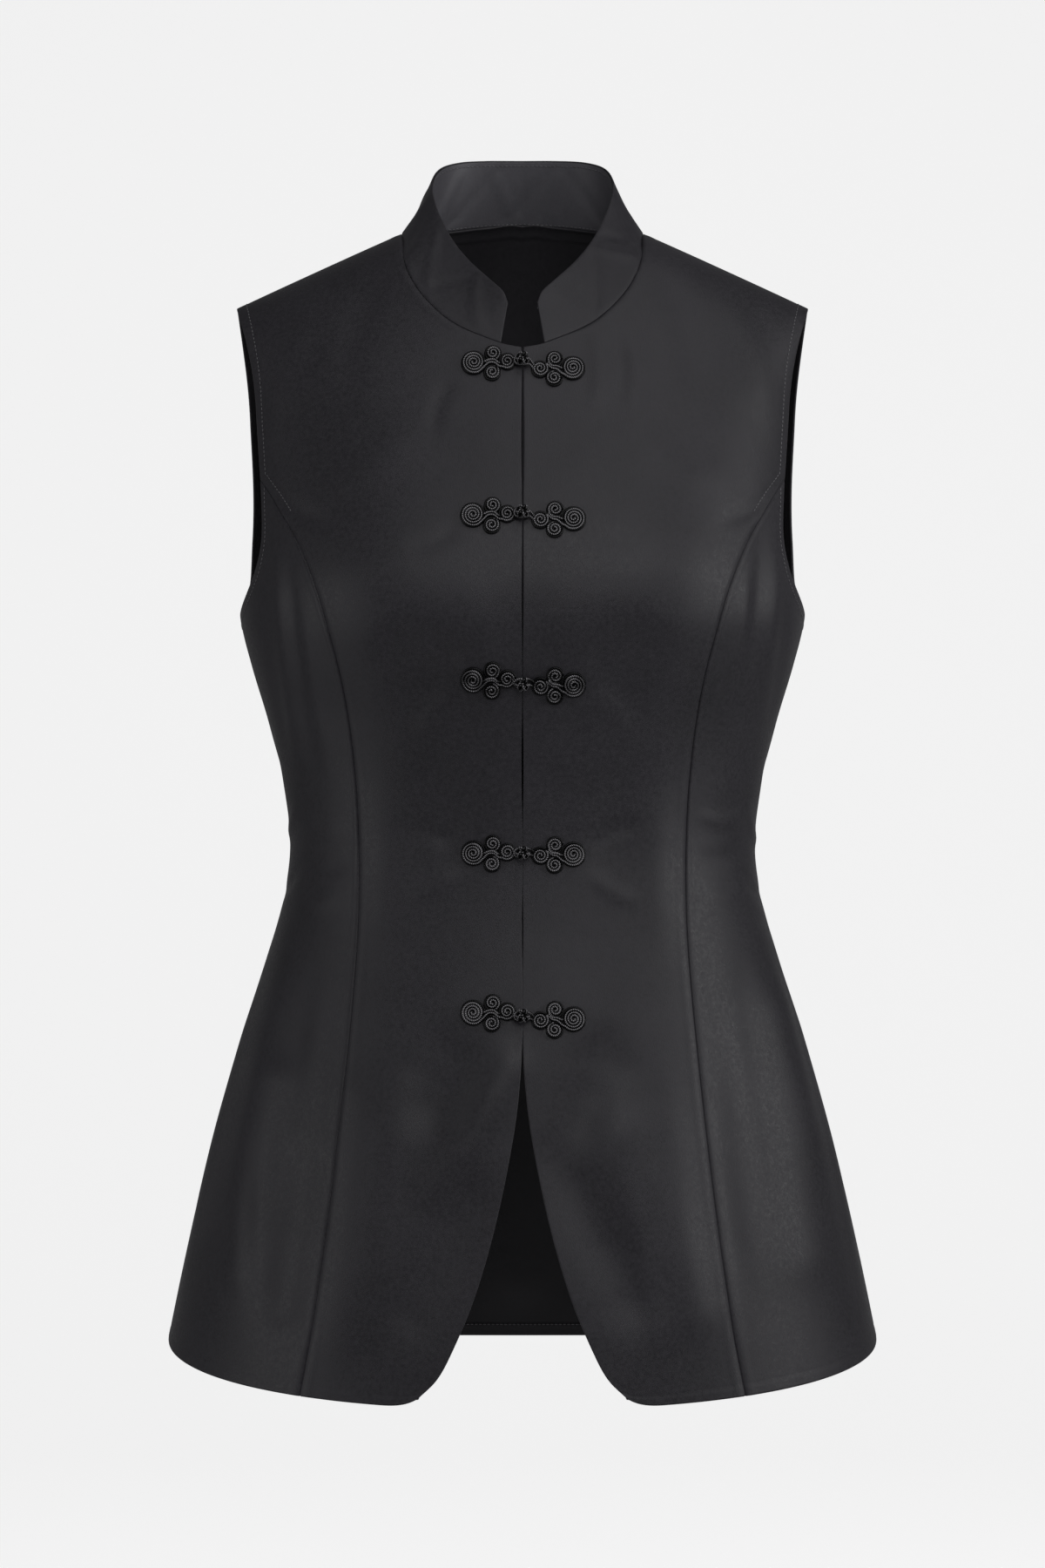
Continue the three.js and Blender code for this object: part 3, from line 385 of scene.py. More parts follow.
# The same, three points each
CREASES = {
    "front": (
        # Hollows under the bust, and the light that runs down between them
        (-80, -238, -62, -262, -45, -292, 17, -2.3), (82, -238, 64, -262, 48, -294, 17, -2.3),
        (-34, -212, -20, -262, -9, -330, 14, 1.2), (32, -214, 20, -264, 9, -335, 14, 1.1),
        (-62, -302, -45, -345, -36, -388, 14, -1.7), (66, -312, 51, -350, 40, -392, 13, -1.5),
        (-88, -330, -84, -380, -88, -430, 13, 1.2), (84, -336, 80, -384, 84, -436, 12, 1.1),
        # Small pulls at the fastenings
        (42, -66, 46, -90, 42, -114, 4.0, 0.8), (54, -62, 58, -88, 55, -112, 4.5, -0.8),
        (64, -70, 68, -94, 66, -124, 5.0, 0.6), (-42, -94, -50, -112, -53, -132, 5.0, -0.6),
        (-36, -184, -50, -193, -68, -197, 5.0, -0.6), (37, -184, 52, -191, 70, -194, 5.0, -0.6),
        (-37, -268, -48, -252, -60, -242, 5.5, -1.1), (38, -270, 50, -254, 64, -244, 5.5, -1.1),
        (-38, -280, -52, -292, -60, -310, 6.0, 0.8), (38, -280, 53, -290, 64, -306, 6.0, 0.7),
        (-37, -370, -54, -363, -76, -360, 5.0, -0.8), (37, -371, 52, -362, 72, -357, 5.0, -0.7),
        (-36, -383, -52, -395, -70, -402, 5.5, 0.8), (38, -384, 54, -398, 70, -404, 5.0, 0.7),
        (-37, -476, -54, -490, -68, -512, 11, -0.8), (38, -476, 54, -490, 66, -512, 11, -0.8),
        # The skirt of the fronts, below the last fastening
        (-12, -492, -26, -528, -50, -566, 12, 1.2), (-34, -498, -42, -522, -44, -550, 16, -1.1),
        (40, -500, 38, -526, 31, -552, 16, -1.0), (19, -546, 35, -582, 56, -624, 15, -1.4),
        (-31, -570, -41, -600, -53, -644, 15, -1.1), (-70, -498, -80, -570, -92, -652, 12, 1.5),
        (-106, -468, -112, -560, -121, -650, 8, -1.0), (78, -488, 92, -570, 104, -656, 12, 1.3),
        (112, -478, 120, -570, 131, -650, 8, -1.0), (58, -560, 70, -610, 82, -668, 8, 1.0),
        # Sides of the fronts
        (-147, -176, -142, -240, -134, -330, 4.5, 1.0), (-138, -196, -132, -262, -124, -330, 4.5, -1.0),
        (-153, -214, -149, -262, -140, -322, 4.0, -0.8), (-128, -232, -122, -280, -114, -330, 5.0, 0.8),
        (151, -186, 149, -230, 141, -282, 5.0, 1.3), (141, -184, 137, -232, 130, -288, 5.0, -1.2),
        (132, -206, 128, -252, 120, -304, 5.0, 1.0), (157, -222, 154, -262, 147, -310, 4.0, -0.8),
        (-141, -350, -121, -362, -101, -360, 4.0, 0.7), (-139, -371, -119, -384, -100, -381, 5.0, -0.8),
        (141, -344, 123, -356, 102, -352, 4.0, 0.7), (140, -365, 121, -378, 102, -377, 5.0, -0.8),
        (139, -391, 121, -401, 104, -397, 5.0, 0.7), (-140, -396, -124, -404, -106, -400, 5.0, 0.6),
        (142, -418, 160, -500, 183, -592, 9, 1.8), (128, -436, 142, -520, 158, -612, 8, -1.3),
        (-140, -424, -156, -505, -177, -602, 8, 1.5), (-124, -438, -138, -520, -150, -602, 8, -1.2),
        (-156, -556, -160, -592, -158, -640, 5, -0.9),
        # Shoulders and armholes
        (80, -20, 97, -60, 104, -112, 10, -1.0), (-82, -22, -99, -62, -106, -114, 10, -0.9),
        (120, -40, 138, -80, 146, -122, 9, 0.9), (-122, -42, -140, -82, -147, -126, 9, 0.8),
        (158, -150, 140, -168, 114, -183, 5, -0.9), (-158, -150, -140, -168, -112, -184, 5, -0.9),
        (60, -120, 92, -148, 122, -160, 12, 0.9), (-60, -124, -92, -150, -120, -164, 12, 0.8),
    ),
    "back": (
        (-58, -60, -84, -120, -92, -184, 14, -1.1), (60, -64, 83, -122, 94, -180, 13, -1.0),
        (0, -30, 3, -120, -1, -226, 15, -1.2), (-118, -60, -140, -100, -148, -150, 9, 0.7),
        (120, -58, 141, -102, 148, -156, 9, 0.8), (150, -160, 132, -190, 108, -216, 6, -0.9),
        (-150, -164, -130, -194, -106, -216, 6, -0.8), (-92, -328, -50, -344, -6, -341, 5, 1.1),
        (8, -348, 50, -355, 94, -344, 5.5, 1.2), (-86, -362, -40, -376, 6, -372, 6, -1.2),
        (-12, -384, 36, -395, 82, -386, 5, 1.0), (-98, -397, -62, -410, -28, -408, 5, -0.9),
        (102, -372, 122, -380, 138, -376, 4.5, -0.8), (-104, -350, -122, -356, -138, -350, 4.5, 0.8),
        (-30, -422, -38, -520, -45, -652, 10, 1.5), (24, -430, 32, -522, 36, -642, 10, 1.3),
        (88, -440, 100, -540, 113, -652, 10, -1.5), (-92, -440, -104, -545, -117, -656, 10, -1.4),
        (142, -440, 160, -530, 178, -620, 8, 1.3), (-144, -436, -160, -520, -180, -616, 8, 1.2),
    ),
    "left": (
        (-22, -300, 2, -345, 8, -402, 8, -1.1), (24, -338, 42, -362, 62, -368, 4, 0.8),
        (-38, -350, -16, -366, 10, -366, 4.5, 0.9), (-8, -420, -22, -520, -30, -642, 10, 1.4),
        (30, -430, 41, -530, 53, -642, 9, -1.3), (6, -242, 4, -282, 13, -332, 5, -0.9),
        (-44, -390, -20, -402, 4, -398, 5, -0.8), (66, -440, 78, -530, 88, -630, 9, 1.1),
    ),
    "right": (
        (-20, -298, 0, -340, 9, -398, 8, -1.0), (26, -346, 44, -358, 64, -362, 4, 0.8),
        (-40, -346, -18, -360, 8, -364, 4.5, 0.9), (-6, -424, -18, -522, -28, -640, 10, 1.3),
        (34, -436, 44, -532, 56, -640, 9, -1.2), (4, -246, 5, -284, 10, -330, 5, -0.8),
        (-40, -384, -16, -398, 6, -400, 5, -0.8), (68, -444, 80, -534, 90, -628, 9, 1.0),
    ),
}
# For each view: the axis that runs across it, the axis that looks at it, and the side that it sees
VIEWS = {"front": (0, 1, -1), "back": (0, 1, 1), "left": (1, 0, 1), "right": (1, 0, -1)}


def straight_lift(points, x0, z0, x1, z1, reach, lift):
    dx, dz = x1 - x0, z1 - z0
    t = np.clip(((points[..., 0] - x0) * dx + (points[..., 2] - z0) * dz) / (dx * dx + dz * dz), 0, 1)
    away = np.hypot(points[..., 0] - x0 - dx * t, points[..., 2] - z0 - dz * t)
    return lift * np.exp(-((away / reach) ** 2))


def crease_lift(points, normals, view, line, reach, lift):
    axis, depth, sign = VIEWS[view]
    path = smooth_curve(line, 14)
    at = points[..., [axis, 2]]
    facing = smoothstep(0.08, 0.45, sign * normals[..., depth])
    near = facing > 0
    for side in (0, 1):
        near &= np.abs(at[..., side] - path[:, side].mean()) < np.ptp(path[:, side]) / 2 + 3 * reach
    total = np.zeros(points.shape[:-1])
    if not near.any():
        return total
    spots = at[near]
    best = np.full(len(spots), 1e9)
    share = np.zeros(len(spots))
    for index in range(len(path) - 1):
        step = path[index + 1] - path[index]
        t = np.clip((spots - path[index]) @ step / (step @ step), 0, 1)
        away = np.linalg.norm(spots - path[index] - t[:, None] * step, axis=1)
        closer = away < best
        best = np.where(closer, away, best)
        share = np.where(closer, (index + t) / (len(path) - 1), share)
    ends = np.minimum(1, 3.2 * np.minimum(share, 1 - share) + 0.12)
    total[near] = lift * ends * np.exp(-((best / reach) ** 2)) * facing[near]
    return total


def cloth_point(face, angle, v):
    """Outer side of the cloth"""
    points = form_point(face, angle, v)
    normals = normal_of(form_point, face, angle, v)
    lift = np.zeros(points.shape[:-1])
    for fold in FOLDS[face]:
        lift += straight_lift(points, *fold)
    lift *= smoothstep(0.05, 0.4, np.cos(angle))
    for view, rows in CREASES.items():
        for *line, reach, height in rows:
            lift += crease_lift(points, normals, view, np.reshape(line, (-1, 2)), reach, height)
    return points + normals * lift[..., None]


print("folds:", sum(map(len, FOLDS.values())), "creases:", sum(map(len, CREASES.values())))

# %% [markdown]
# A panel is a patch between four edge lines, all given as places on the form. Its rows and columns lie
# close together near the edges, where the cloth turns into a seam or a hem, and wider in between. A
# shell is made from the outer side and an inner side that lies a cloth's thickness behind it, and its
# rim is rounded, as a turned edge is. The seam lines of two neighbours are the same curve. The back is
# much the largest piece, so its rows lie a little wider apart.
# %% Patches and shells
THICKNESS = 1.1
LADDER = np.array([0, 0.45, 1.1, 2.0, 3.2, 4.6, 6.0, 7.3, 7.9, 8.5, 9.8])
SPACING = 2.9
BACK_SPACING = 3.4
DART_LADDER = np.array([-3.2, -1.7, -0.8, 0, 0.8, 1.7, 3.2])
RIM = 4


def stations(total, lines_at=(), spacing=SPACING):
    """Places along a width: close to both edges as the ladder says, and evenly in between"""
    inset = THICKNESS / 2 + 0.02
    start = inset + LADDER
    count = max(2, round((total - 2 * start[-1]) / spacing))
    middle = np.linspace(start[-1], total - start[-1], count + 1)[1:-1]
    for line in lines_at:
        middle = np.sort(np.concatenate([middle[np.abs(middle - line) > 4.5], line + DART_LADDER]))
    return np.concatenate([start, middle, total - start[::-1]])


def fitted(marks, total, width):
    """The same places on a row of another width; on a narrow row the ladders shrink"""
    reach = marks[len(LADDER) - 1]
    scale = min(1, width / (2.6 * reach))
    middle = (marks - reach) / (total - 2 * reach) * (width - 2 * reach * scale) + reach * scale
    result = np.where(marks <= reach, marks * scale, middle)
    return np.where(marks >= total - reach, width - (total - marks) * scale, result) / width


def along(edge, t):
    at = np.linspace(0, 1, len(edge))
    return np.stack([np.interp(t, at, edge[:, axis]) for axis in (0, 1)], -1)


def patch(bottom, top, inner, outer, s, t):
    low_edge, high_edge, first, last = along(bottom, s), along(top, s), along(inner, t), along(outer, t)
    s, t = s[:, None], t[:, None]
    rails = (1 - t) * low_edge + t * high_edge + (1 - s) * first + s * last
    low = (1 - s) * bottom[0] + s * bottom[-1]
    high = (1 - s) * top[0] + s * top[-1]
    return rails - (1 - t) * low - t * high


def running(face, places):
    """Length reached at each of a line of places"""
    points = form_point(face, places[:, 0], places[:, 1])
    return np.concatenate([[0], np.cumsum(np.linalg.norm(np.diff(points, axis=0), axis=1))])


def panel_places(face, bottom, top, inner, outer, dart_shares=()):
    """Grid of places, and the marks of its rows and columns in millimetres from the first edge"""
    edges = (bottom, top, inner, outer)
    probe, fine = np.linspace(0, 1, 61), np.linspace(0, 1, 241)
    lengths = [running(face, patch(*edges, np.full(241, share), fine)) for share in probe]
    height = max(length[-1] for length in lengths)
    spacing = BACK_SPACING if face == "back" else SPACING
    row_marks = stations(height, (), spacing)
    heights = np.stack([
        np.interp(fitted(row_marks, height, length[-1]) * length[-1], length, fine) for length in lengths
    ], -1)
    widths = [running(face, patch(*edges, probe, at)) for at in heights]
    width = max(length[-1] for length in widths)
    column_marks = stations(width, [share * width for share in dart_shares], spacing)
    rows = []
    for at, length in zip(heights, widths):
        s = np.interp(fitted(column_marks, width, length[-1]) * length[-1], length, probe)
        rows.append(patch(*edges, s, np.interp(s, probe, at)))
    return np.stack(rows), row_marks, column_marks


def grid_normals(points, outwards):
    across = np.gradient(points, axis=1)
    up = np.gradient(points, axis=0)
    normal = np.cross(across, up)
    normal /= np.maximum(np.linalg.norm(normal, axis=-1, keepdims=True), 1e-12)
    flip = np.sign(np.sum(normal * outwards, axis=-1, keepdims=True).mean())
    return normal * flip


def border(grid):
    """The rim of a grid, once round"""
    return np.concatenate([grid[0, :-1], grid[:-1, -1], grid[-1, :0:-1], grid[:0:-1, 0]])


def unit(vectors):
    return vectors / np.maximum(np.linalg.norm(vectors, axis=-1, keepdims=True), 1e-12)


def new_mesh(name, points, faces, uv=None, uv_name="cloth", kinds=None, painted_highlight=None):
    """Smooth mesh from points in millimetres, with a UV place and a painted-highlight mask for each, and a slot for
    each face
    """
    mesh = bpy.data.meshes.new(name)
    mesh.from_pydata((np.asarray(points) * MM).tolist(), [], faces)
    if uv is not None:
        layer = mesh.uv_layers.new(name=uv_name)
        corners = np.empty(len(mesh.loops), int)
        mesh.loops.foreach_get("vertex_index", corners)
        layer.data.foreach_set("uv", (np.asarray(uv)[corners] * MM).astype(np.float32).ravel())
    if kinds is not None:
        mesh.polygons.foreach_set("material_index", kinds)
    if painted_highlight is not None:
        mesh.attributes.new("painted_highlight", "FLOAT", "POINT").data.foreach_set("value", painted_highlight.astype(np.float32))
    mesh.polygons.foreach_set("use_smooth", np.ones(len(mesh.polygons), bool))
    mesh.update()
    piece = bpy.data.objects.new(name, mesh)
    bpy.context.scene.collection.objects.link(piece)
    return piece


def turn_faces_out(piece):
    editable = bmesh.new()
    editable.from_mesh(piece.data)
    bmesh.ops.recalc_face_normals(editable, faces=editable.faces)
    editable.to_mesh(piece.data)
    editable.free()
    return piece


def shell(name, outer, inner, uv):
    rows, columns = outer.shape[:2]
    count = rows * columns
    index = np.arange(count).reshape(rows, columns)
    quads = np.stack([index[:-1, :-1], index[:-1, 1:], index[1:, 1:], index[1:, :-1]], -1).reshape(-1, 4)
    ring = border(index)
    away = np.zeros_like(outer)
    away[0] += unit(outer[0] - outer[1])
    away[-1] += unit(outer[-1] - outer[-2])
    away[:, 0] += unit(outer[:, 0] - outer[:, 1])
    away[:, -1] += unit(outer[:, -1] - outer[:, -2])
    away = border(unit(away))
    front, behind = border(outer), border(inner)
    middle, half = (front + behind) / 2, (front - behind) / 2
    radius = np.linalg.norm(half, axis=-1, keepdims=True)
    rims = [
        middle + math.cos(turn) * half + math.sin(turn) ** 0.8 * radius * away
        for turn in (math.pi * k / RIM for k in range(1, RIM))
    ]
    points = np.concatenate([outer.reshape(-1, 3), inner.reshape(-1, 3), *rims])
    loops = [ring] + [2 * count + k * len(ring) + np.arange(len(ring)) for k in range(RIM - 1)] + [ring + count]
    bands = [
        np.stack([low, np.roll(low, -1), np.roll(high, -1), high], -1) for high, low in zip(loops[:-1], loops[1:])
    ]
    faces = np.concatenate([quads, quads[:, ::-1] + count, *bands])
    kinds = np.concatenate([np.zeros(len(quads), int), np.ones(len(quads), int), np.zeros(len(ring) * RIM, int)])
    a, b, c, d = np.swapaxes(points[faces], 0, 1)
    if np.sum(a * np.cross(b, c) + a * np.cross(c, d)) < 0:
        faces = faces[:, ::-1]
    flat_uv = np.concatenate([uv.reshape(-1, 2), uv.reshape(-1, 2), *[border(uv)] * (RIM - 1)])
    piece = new_mesh(name, points, faces.tolist(), flat_uv, kinds=kinds)
    crossed = np.cross(outer[1:, 1:] - outer[:-1, :-1], outer[1:, :-1] - outer[:-1, 1:])
    area = np.linalg.norm(crossed, axis=-1).sum() / 2
    width = np.linalg.norm(np.diff(outer, axis=1), axis=-1).sum(1).max()
    height = np.linalg.norm(np.diff(outer, axis=0), axis=-1).sum(0).max()
    print(name, "rows", rows, "columns", columns, "area", round(area * 1e-6, 4), "m2, width and length",
          round(width), round(height), "mm")
    return piece


# %% [markdown]
# Relief is what sewing does to the cloth. Along a seam the outer side dips and stands up a little beside
# it, because the allowances underneath are pressed open. Inside, those allowances and the turned
# hem make bands that end in a small step. Turned edges, such as the armhole's, are thicker on both sides.
# %% Relief of seams and hems
SEAM, TURNED, FREE = "seam", "turned", "free"
grids = {}
BAND = 8.2
ARM_STITCH = 6.6
BLEND = 0.008
DART_TAPER = 15


def outside_relief(kind, away):
    if kind == SEAM:
        return -0.42 * np.exp(-((away / 1.1) ** 2)) + 0.16 * np.exp(-(((away - 4.2) / 2.2) ** 2))
    if kind == TURNED:
        return 0.12 * (1 - smoothstep(6.0, BAND, away)) - 0.16 * np.exp(-(((away - ARM_STITCH) / 0.8) ** 2))
    return 0.05 * (1 - smoothstep(2.0, 6.0, away))


def inside_relief(away):
    return 0.42 * (1 - smoothstep(7.3, 8.5, away))


def between(low, high, soft, at):
    return smoothstep(low - soft, low + soft, at) * (1 - smoothstep(high - soft, high + soft, at))


def make_panel(name, face, edges, kinds, dart_shares=(), dart_heights=(0, 1)):
    """edges: bottom, top, inner and outer line. kinds: for each, a list of (kind, from, to) along it"""
    places, row_marks, column_marks = panel_places(face, *edges, dart_shares)
    outer = cloth_point(face, places[..., 0], places[..., 1])
    outwards = normal_of(form_point, face, places[..., 0], places[..., 1])
    normals = grid_normals(outer, outwards)
    distances = (
        row_marks[:, None], (row_marks[-1] - row_marks)[:, None],
        column_marks[None, :], (column_marks[-1] - column_marks)[None, :],
    )
    share_rows, share_columns = row_marks / row_marks[-1], column_marks / column_marks[-1]
    outside = np.zeros(outer.shape[:2])
    inside = np.zeros(outer.shape[:2])
    for side, away in enumerate(distances):
        shares = share_columns[None, :] if side < 2 else share_rows[:, None]
        for kind, low, high in kinds[side]:
            weight = between(low, high, BLEND, shares)
            outside = outside + weight * outside_relief(kind, away)
            inside = np.maximum(inside, weight * inside_relief(away) * (kind != FREE))
    run = between(dart_heights[0] + DART_TAPER, dart_heights[1] - DART_TAPER, DART_TAPER, outer[..., 2])
    for share in dart_shares:
        away = np.abs(column_marks[None, :] - share * (column_marks[0] + column_marks[-1]))
        outside = outside + run * (-0.5 * np.exp(-((away / 1.0) ** 2)) + 0.14 * np.exp(-(((away - 3.6) / 2) ** 2)))
        inside = np.maximum(inside, run * 0.5 * np.exp(-((away / 3.5) ** 4)))
    outer = outer + normals * outside[..., None]
    inner = outer - normals * (THICKNESS + inside - np.minimum(0, outside))[..., None]
    spread = (half_width(face, places[..., 1]) + read(SECTIONS, 2, places[..., 1])) / 2
    uv = np.stack([places[..., 0] * spread, places[..., 1]], -1)
    grids[name] = (outer, inner, normals, row_marks, column_marks)
    return shell(name, outer, inner, uv)


EVERYWHERE = (-1, 2)
print("band of a turned edge:", BAND, "mm")

# %% [markdown]
# The edge lines come from the tables. The necklines are smooth curves in space, found on the form and
# turned into places, so that the collar can stand on exactly the same curve.
# %% Edge lines
DENSE = 161
TOP = CHEST_LINE + SHOULDER_RUN


def lines(*parts):
    """Parts of an edge joined, each resampled to its share of the whole"""
    whole = [parts[0][0][:1]]
    for points, share in parts:
        count = max(2, round(share * 400))
        at = np.linspace(0, 1, count + 1)[1:]
        whole.append(along(points, at))
    return np.concatenate(whole)


def mirrored(places_of_edge):
    return places_of_edge * np.array([-1, 1])


def front_edge_x(z):
    z = np.asarray(z, float)
    nearest = np.min(np.abs(z[..., None] - np.array(FROG_HEIGHTS)), axis=-1)
    bow = FRONT_BOW * smoothstep(8, 45, nearest) * (z > VENT_TOP)
    return FRONT_PART + bow + np.where(z < VENT_TOP, read(FRONT_EDGE, 1, z), 0)


def front_opening(low, high):
    z = np.linspace(low, high, DENSE)
    return place("front", front_edge_x(z), z)


def armhole_angle(face, v):
    tip = math.degrees(math.asin((SHOULDER_TIP / TOP_WIDTH) ** (float(read(SECTIONS, 4, CHEST_LINE)) / 2)))
    column = 1 if face == "front" else 2
    table = np.column_stack([np.append(ARMHOLE[:, 0], TOP), np.append(ARMHOLE[:, column], tip)])
    return np.radians(np.minimum(read(table, 1, v), 90))


PRINCESS_LINE = np.vstack([
    PRINCESS, (PRINCESS_TOP, form_point("front", armhole_angle("front", PRINCESS_TOP), PRINCESS_TOP)[0])
])


def princess_seam(low, high):
    z = np.linspace(low, high, DENSE)
    return place("front", read(PRINCESS_LINE, 1, z), z)


def side_seam(low, high):
    return np.column_stack([np.full(DENSE, math.pi / 2), np.linspace(low, high, DENSE)])


def armhole_line(face, v):
    return np.column_stack([armhole_angle(face, v), v])


def hem_height(face, angle, z):
    return SIDE_HEM - HEM_DROP[face] * np.maximum(0, np.cos(angle)) ** (2 / read(SECTIONS, 4, z))


def hem_place(x):
    z = np.full(np.shape(x), float(SIDE_HEM))
    for _ in range(6):
        z = hem_height("front", place("front", x, z)[..., 0], z)
    return place("front", x, z)


neck_x = FRONT_NECK[:, 0].copy()
neck_x[0] = FRONT_PART
neck_z = read(FRONT_NECK, 1, neck_x)
neck_peak = form_point("front", *place_from_above("front", NECK_POINT, SHOULDER_SEAM_Y).tolist())
front_neck_places = place("front", neck_x, neck_z)
NECK_FRONT = smooth_curve(np.vstack([form_point("front", *front_neck_places.T), neck_peak]), DENSE)
back_neck_places = place_from_above("back", np.maximum(BACK_NECK[:, 0], 1e-6), BACK_NECK[:, 1])
NECK_BACK = smooth_curve(np.vstack([form_point("back", *back_neck_places.T), neck_peak]), DENSE)
print("front neckline from", NECK_FRONT[0].round(1), "to", NECK_FRONT[-1].round(1))

# %% [markdown]
# Each centre front is cut in one piece from shoulder to hem. Its inner edge is the front opening and then
# half of the neckline, its outer edge the princess seam and then part of the armhole. Every part of an
# edge has the same share of the length on both sides, so that the rows of the grid stay level.
# %% Front panels
PRINCESS_SHARE = 0.769
VENT_SHARE = 0.307
NECK_SHARE = PRINCESS_SHARE + 0.41 * (1 - PRINCESS_SHARE)
HEM_START = -687.0
SEAM_END = -688


def shoulder_line(face, low, high):
    return place_from_above(face, np.linspace(low, high, DENSE), SHOULDER_SEAM_Y)


def front_edges():
    corner = float(front_edge_x(HEM_START))
    hem_end = float(hem_place(float(read(PRINCESS_LINE, 1, SEAM_END)))[1])
    bottom_x = np.linspace(corner, float(read(PRINCESS_LINE, 1, hem_end)), DENSE)
    bottom = hem_place(bottom_x)
    bottom[:, 1] += 5.2 * np.maximum(0, 1 - (bottom_x - corner) / 26) ** 3.5
    neck_line = place("front", NECK_FRONT[:-1, 0], NECK_FRONT[:-1, 2])
    tops = shoulder_line("front", NECK_POINT, SHOULDER_TIP)
    inner = lines(
        (front_opening(float(bottom[0, 1]), VENT_TOP), VENT_SHARE),
        (front_opening(VENT_TOP, PRINCESS_TOP), PRINCESS_SHARE - VENT_SHARE),
        (front_opening(PRINCESS_TOP, FRONT_NECK[0, 1]), NECK_SHARE - PRINCESS_SHARE),
        (np.vstack([neck_line, tops[:1]]), 1 - NECK_SHARE),
    )
    outer = lines(
        (princess_seam(hem_end, VENT_TOP), VENT_SHARE),
        (princess_seam(VENT_TOP, PRINCESS_TOP), PRINCESS_SHARE - VENT_SHARE),
        (armhole_line("front", np.linspace(PRINCESS_TOP, tops[-1, 1], DENSE)), 1 - PRINCESS_SHARE),
    )
    bottom[0], bottom[-1], tops[-1] = inner[0], outer[0], outer[-1]
    return bottom, tops, inner, outer


FRONT_KINDS = (
    [(TURNED, *EVERYWHERE)], [(SEAM, *EVERYWHERE)],
    [(FREE, -1, NECK_SHARE), (SEAM, NECK_SHARE, 2)],
    [(SEAM, -1, PRINCESS_SHARE), (TURNED, PRINCESS_SHARE, 2)],
)
pieces = {}
left_edges = front_edges()
pieces["front_left"] = make_panel("front_left_cloth", "front", left_edges, FRONT_KINDS)
right_edges = [mirrored(edge) for edge in left_edges]
pieces["front_right"] = make_panel("front_right_cloth", "front", right_edges, FRONT_KINDS)

# %% [markdown]
# The side fronts run from the armhole to the hem and give the bust its shape: the princess seam on one
# side is the same curve as the centre front's, and the side seam lies at the very side of the form.
# %% Side fronts
def side_front_edges():
    start = float(hem_place(float(read(PRINCESS_LINE, 1, SEAM_END)))[1])
    inner = lines((princess_seam(start, VENT_TOP), 0.40), (princess_seam(VENT_TOP, PRINCESS_TOP), 0.60))
    outer = lines((side_seam(SIDE_HEM, VENT_TOP), 0.40), (side_seam(VENT_TOP, ARMHOLE_BOTTOM), 0.60))
    bottom_angle = np.linspace(inner[0, 0], math.pi / 2, DENSE)
    bottom = np.column_stack([bottom_angle, hem_height("front", bottom_angle, SIDE_HEM)])
    share = np.linspace(0, 1, DENSE)
    tops = armhole_line("front", PRINCESS_TOP + (ARMHOLE_BOTTOM - PRINCESS_TOP) * (1 - (1 - share) ** 1.9))
    bottom[0], bottom[-1], tops[0], tops[-1] = inner[0], outer[0], inner[-1], outer[-1]
    return bottom, tops, inner, outer


SIDE_KINDS = [[(kind, *EVERYWHERE)] for kind in (TURNED, TURNED, SEAM, SEAM)]
side_edges = side_front_edges()
pieces["side_front_left"] = make_panel("side_front_left_cloth", "front", side_edges, SIDE_KINDS)
right_edges = [mirrored(edge) for edge in side_edges]
pieces["side_front_right"] = make_panel("side_front_right_cloth", "front", right_edges, SIDE_KINDS)

# %% [markdown]
# The photograph doesn't show the back, so it is one plain piece from side seam to side seam, with a long
# dart on each side of the middle, which is how such a top is brought in at the waist.
# %% Back
def back_edges():
    neck_line = place_from_above("back", NECK_BACK[:-1, 0], NECK_BACK[:-1, 1])
    tops = shoulder_line("back", NECK_POINT, SHOULDER_TIP)
    half = lines((np.vstack([neck_line, tops[:1]]), 0.5), (tops, 0.5))
    whole_top = np.vstack([mirrored(half[:0:-1]), half])
    outer = lines(
        (side_seam(SIDE_HEM, VENT_TOP), 0.285), (side_seam(VENT_TOP, ARMHOLE_BOTTOM), 0.355),
        (armhole_line("back", np.linspace(ARMHOLE_BOTTOM, tops[-1, 1], DENSE)), 0.36),
    )
    bottom_angle = np.linspace(-math.pi / 2, math.pi / 2, DENSE)
    bottom = np.column_stack([bottom_angle, hem_height("back", bottom_angle, SIDE_HEM)])
    outer[-1] = whole_top[-1]
    inner = mirrored(outer)
    bottom[0], bottom[-1], whole_top[0] = inner[0], outer[0], inner[-1]
    return bottom, whole_top, inner, outer


ARM_SHARE = 0.64
ARM_KINDS = [(SEAM, -1, ARM_SHARE), (TURNED, ARM_SHARE, 2)]
BACK_KINDS = ([(TURNED, *EVERYWHERE)], [(SEAM, *EVERYWHERE)], ARM_KINDS, ARM_KINDS)
DART_SHARES = (0.355, 0.645)
DART_HEIGHTS = (-492, -205)
pieces["back"] = make_panel("back_cloth", "back", back_edges(), BACK_KINDS, DART_SHARES, DART_HEIGHTS)

# %% [markdown]
# The stand collar has two layers that meet at the top. Each is a ruled strip from the neckline to the
# top edge, and the inner one lies a layer further in and ends just below the outer, so that the seam
# rolls to the inside as it should.
# %% Collar
COLLAR_LAYER = 0.85


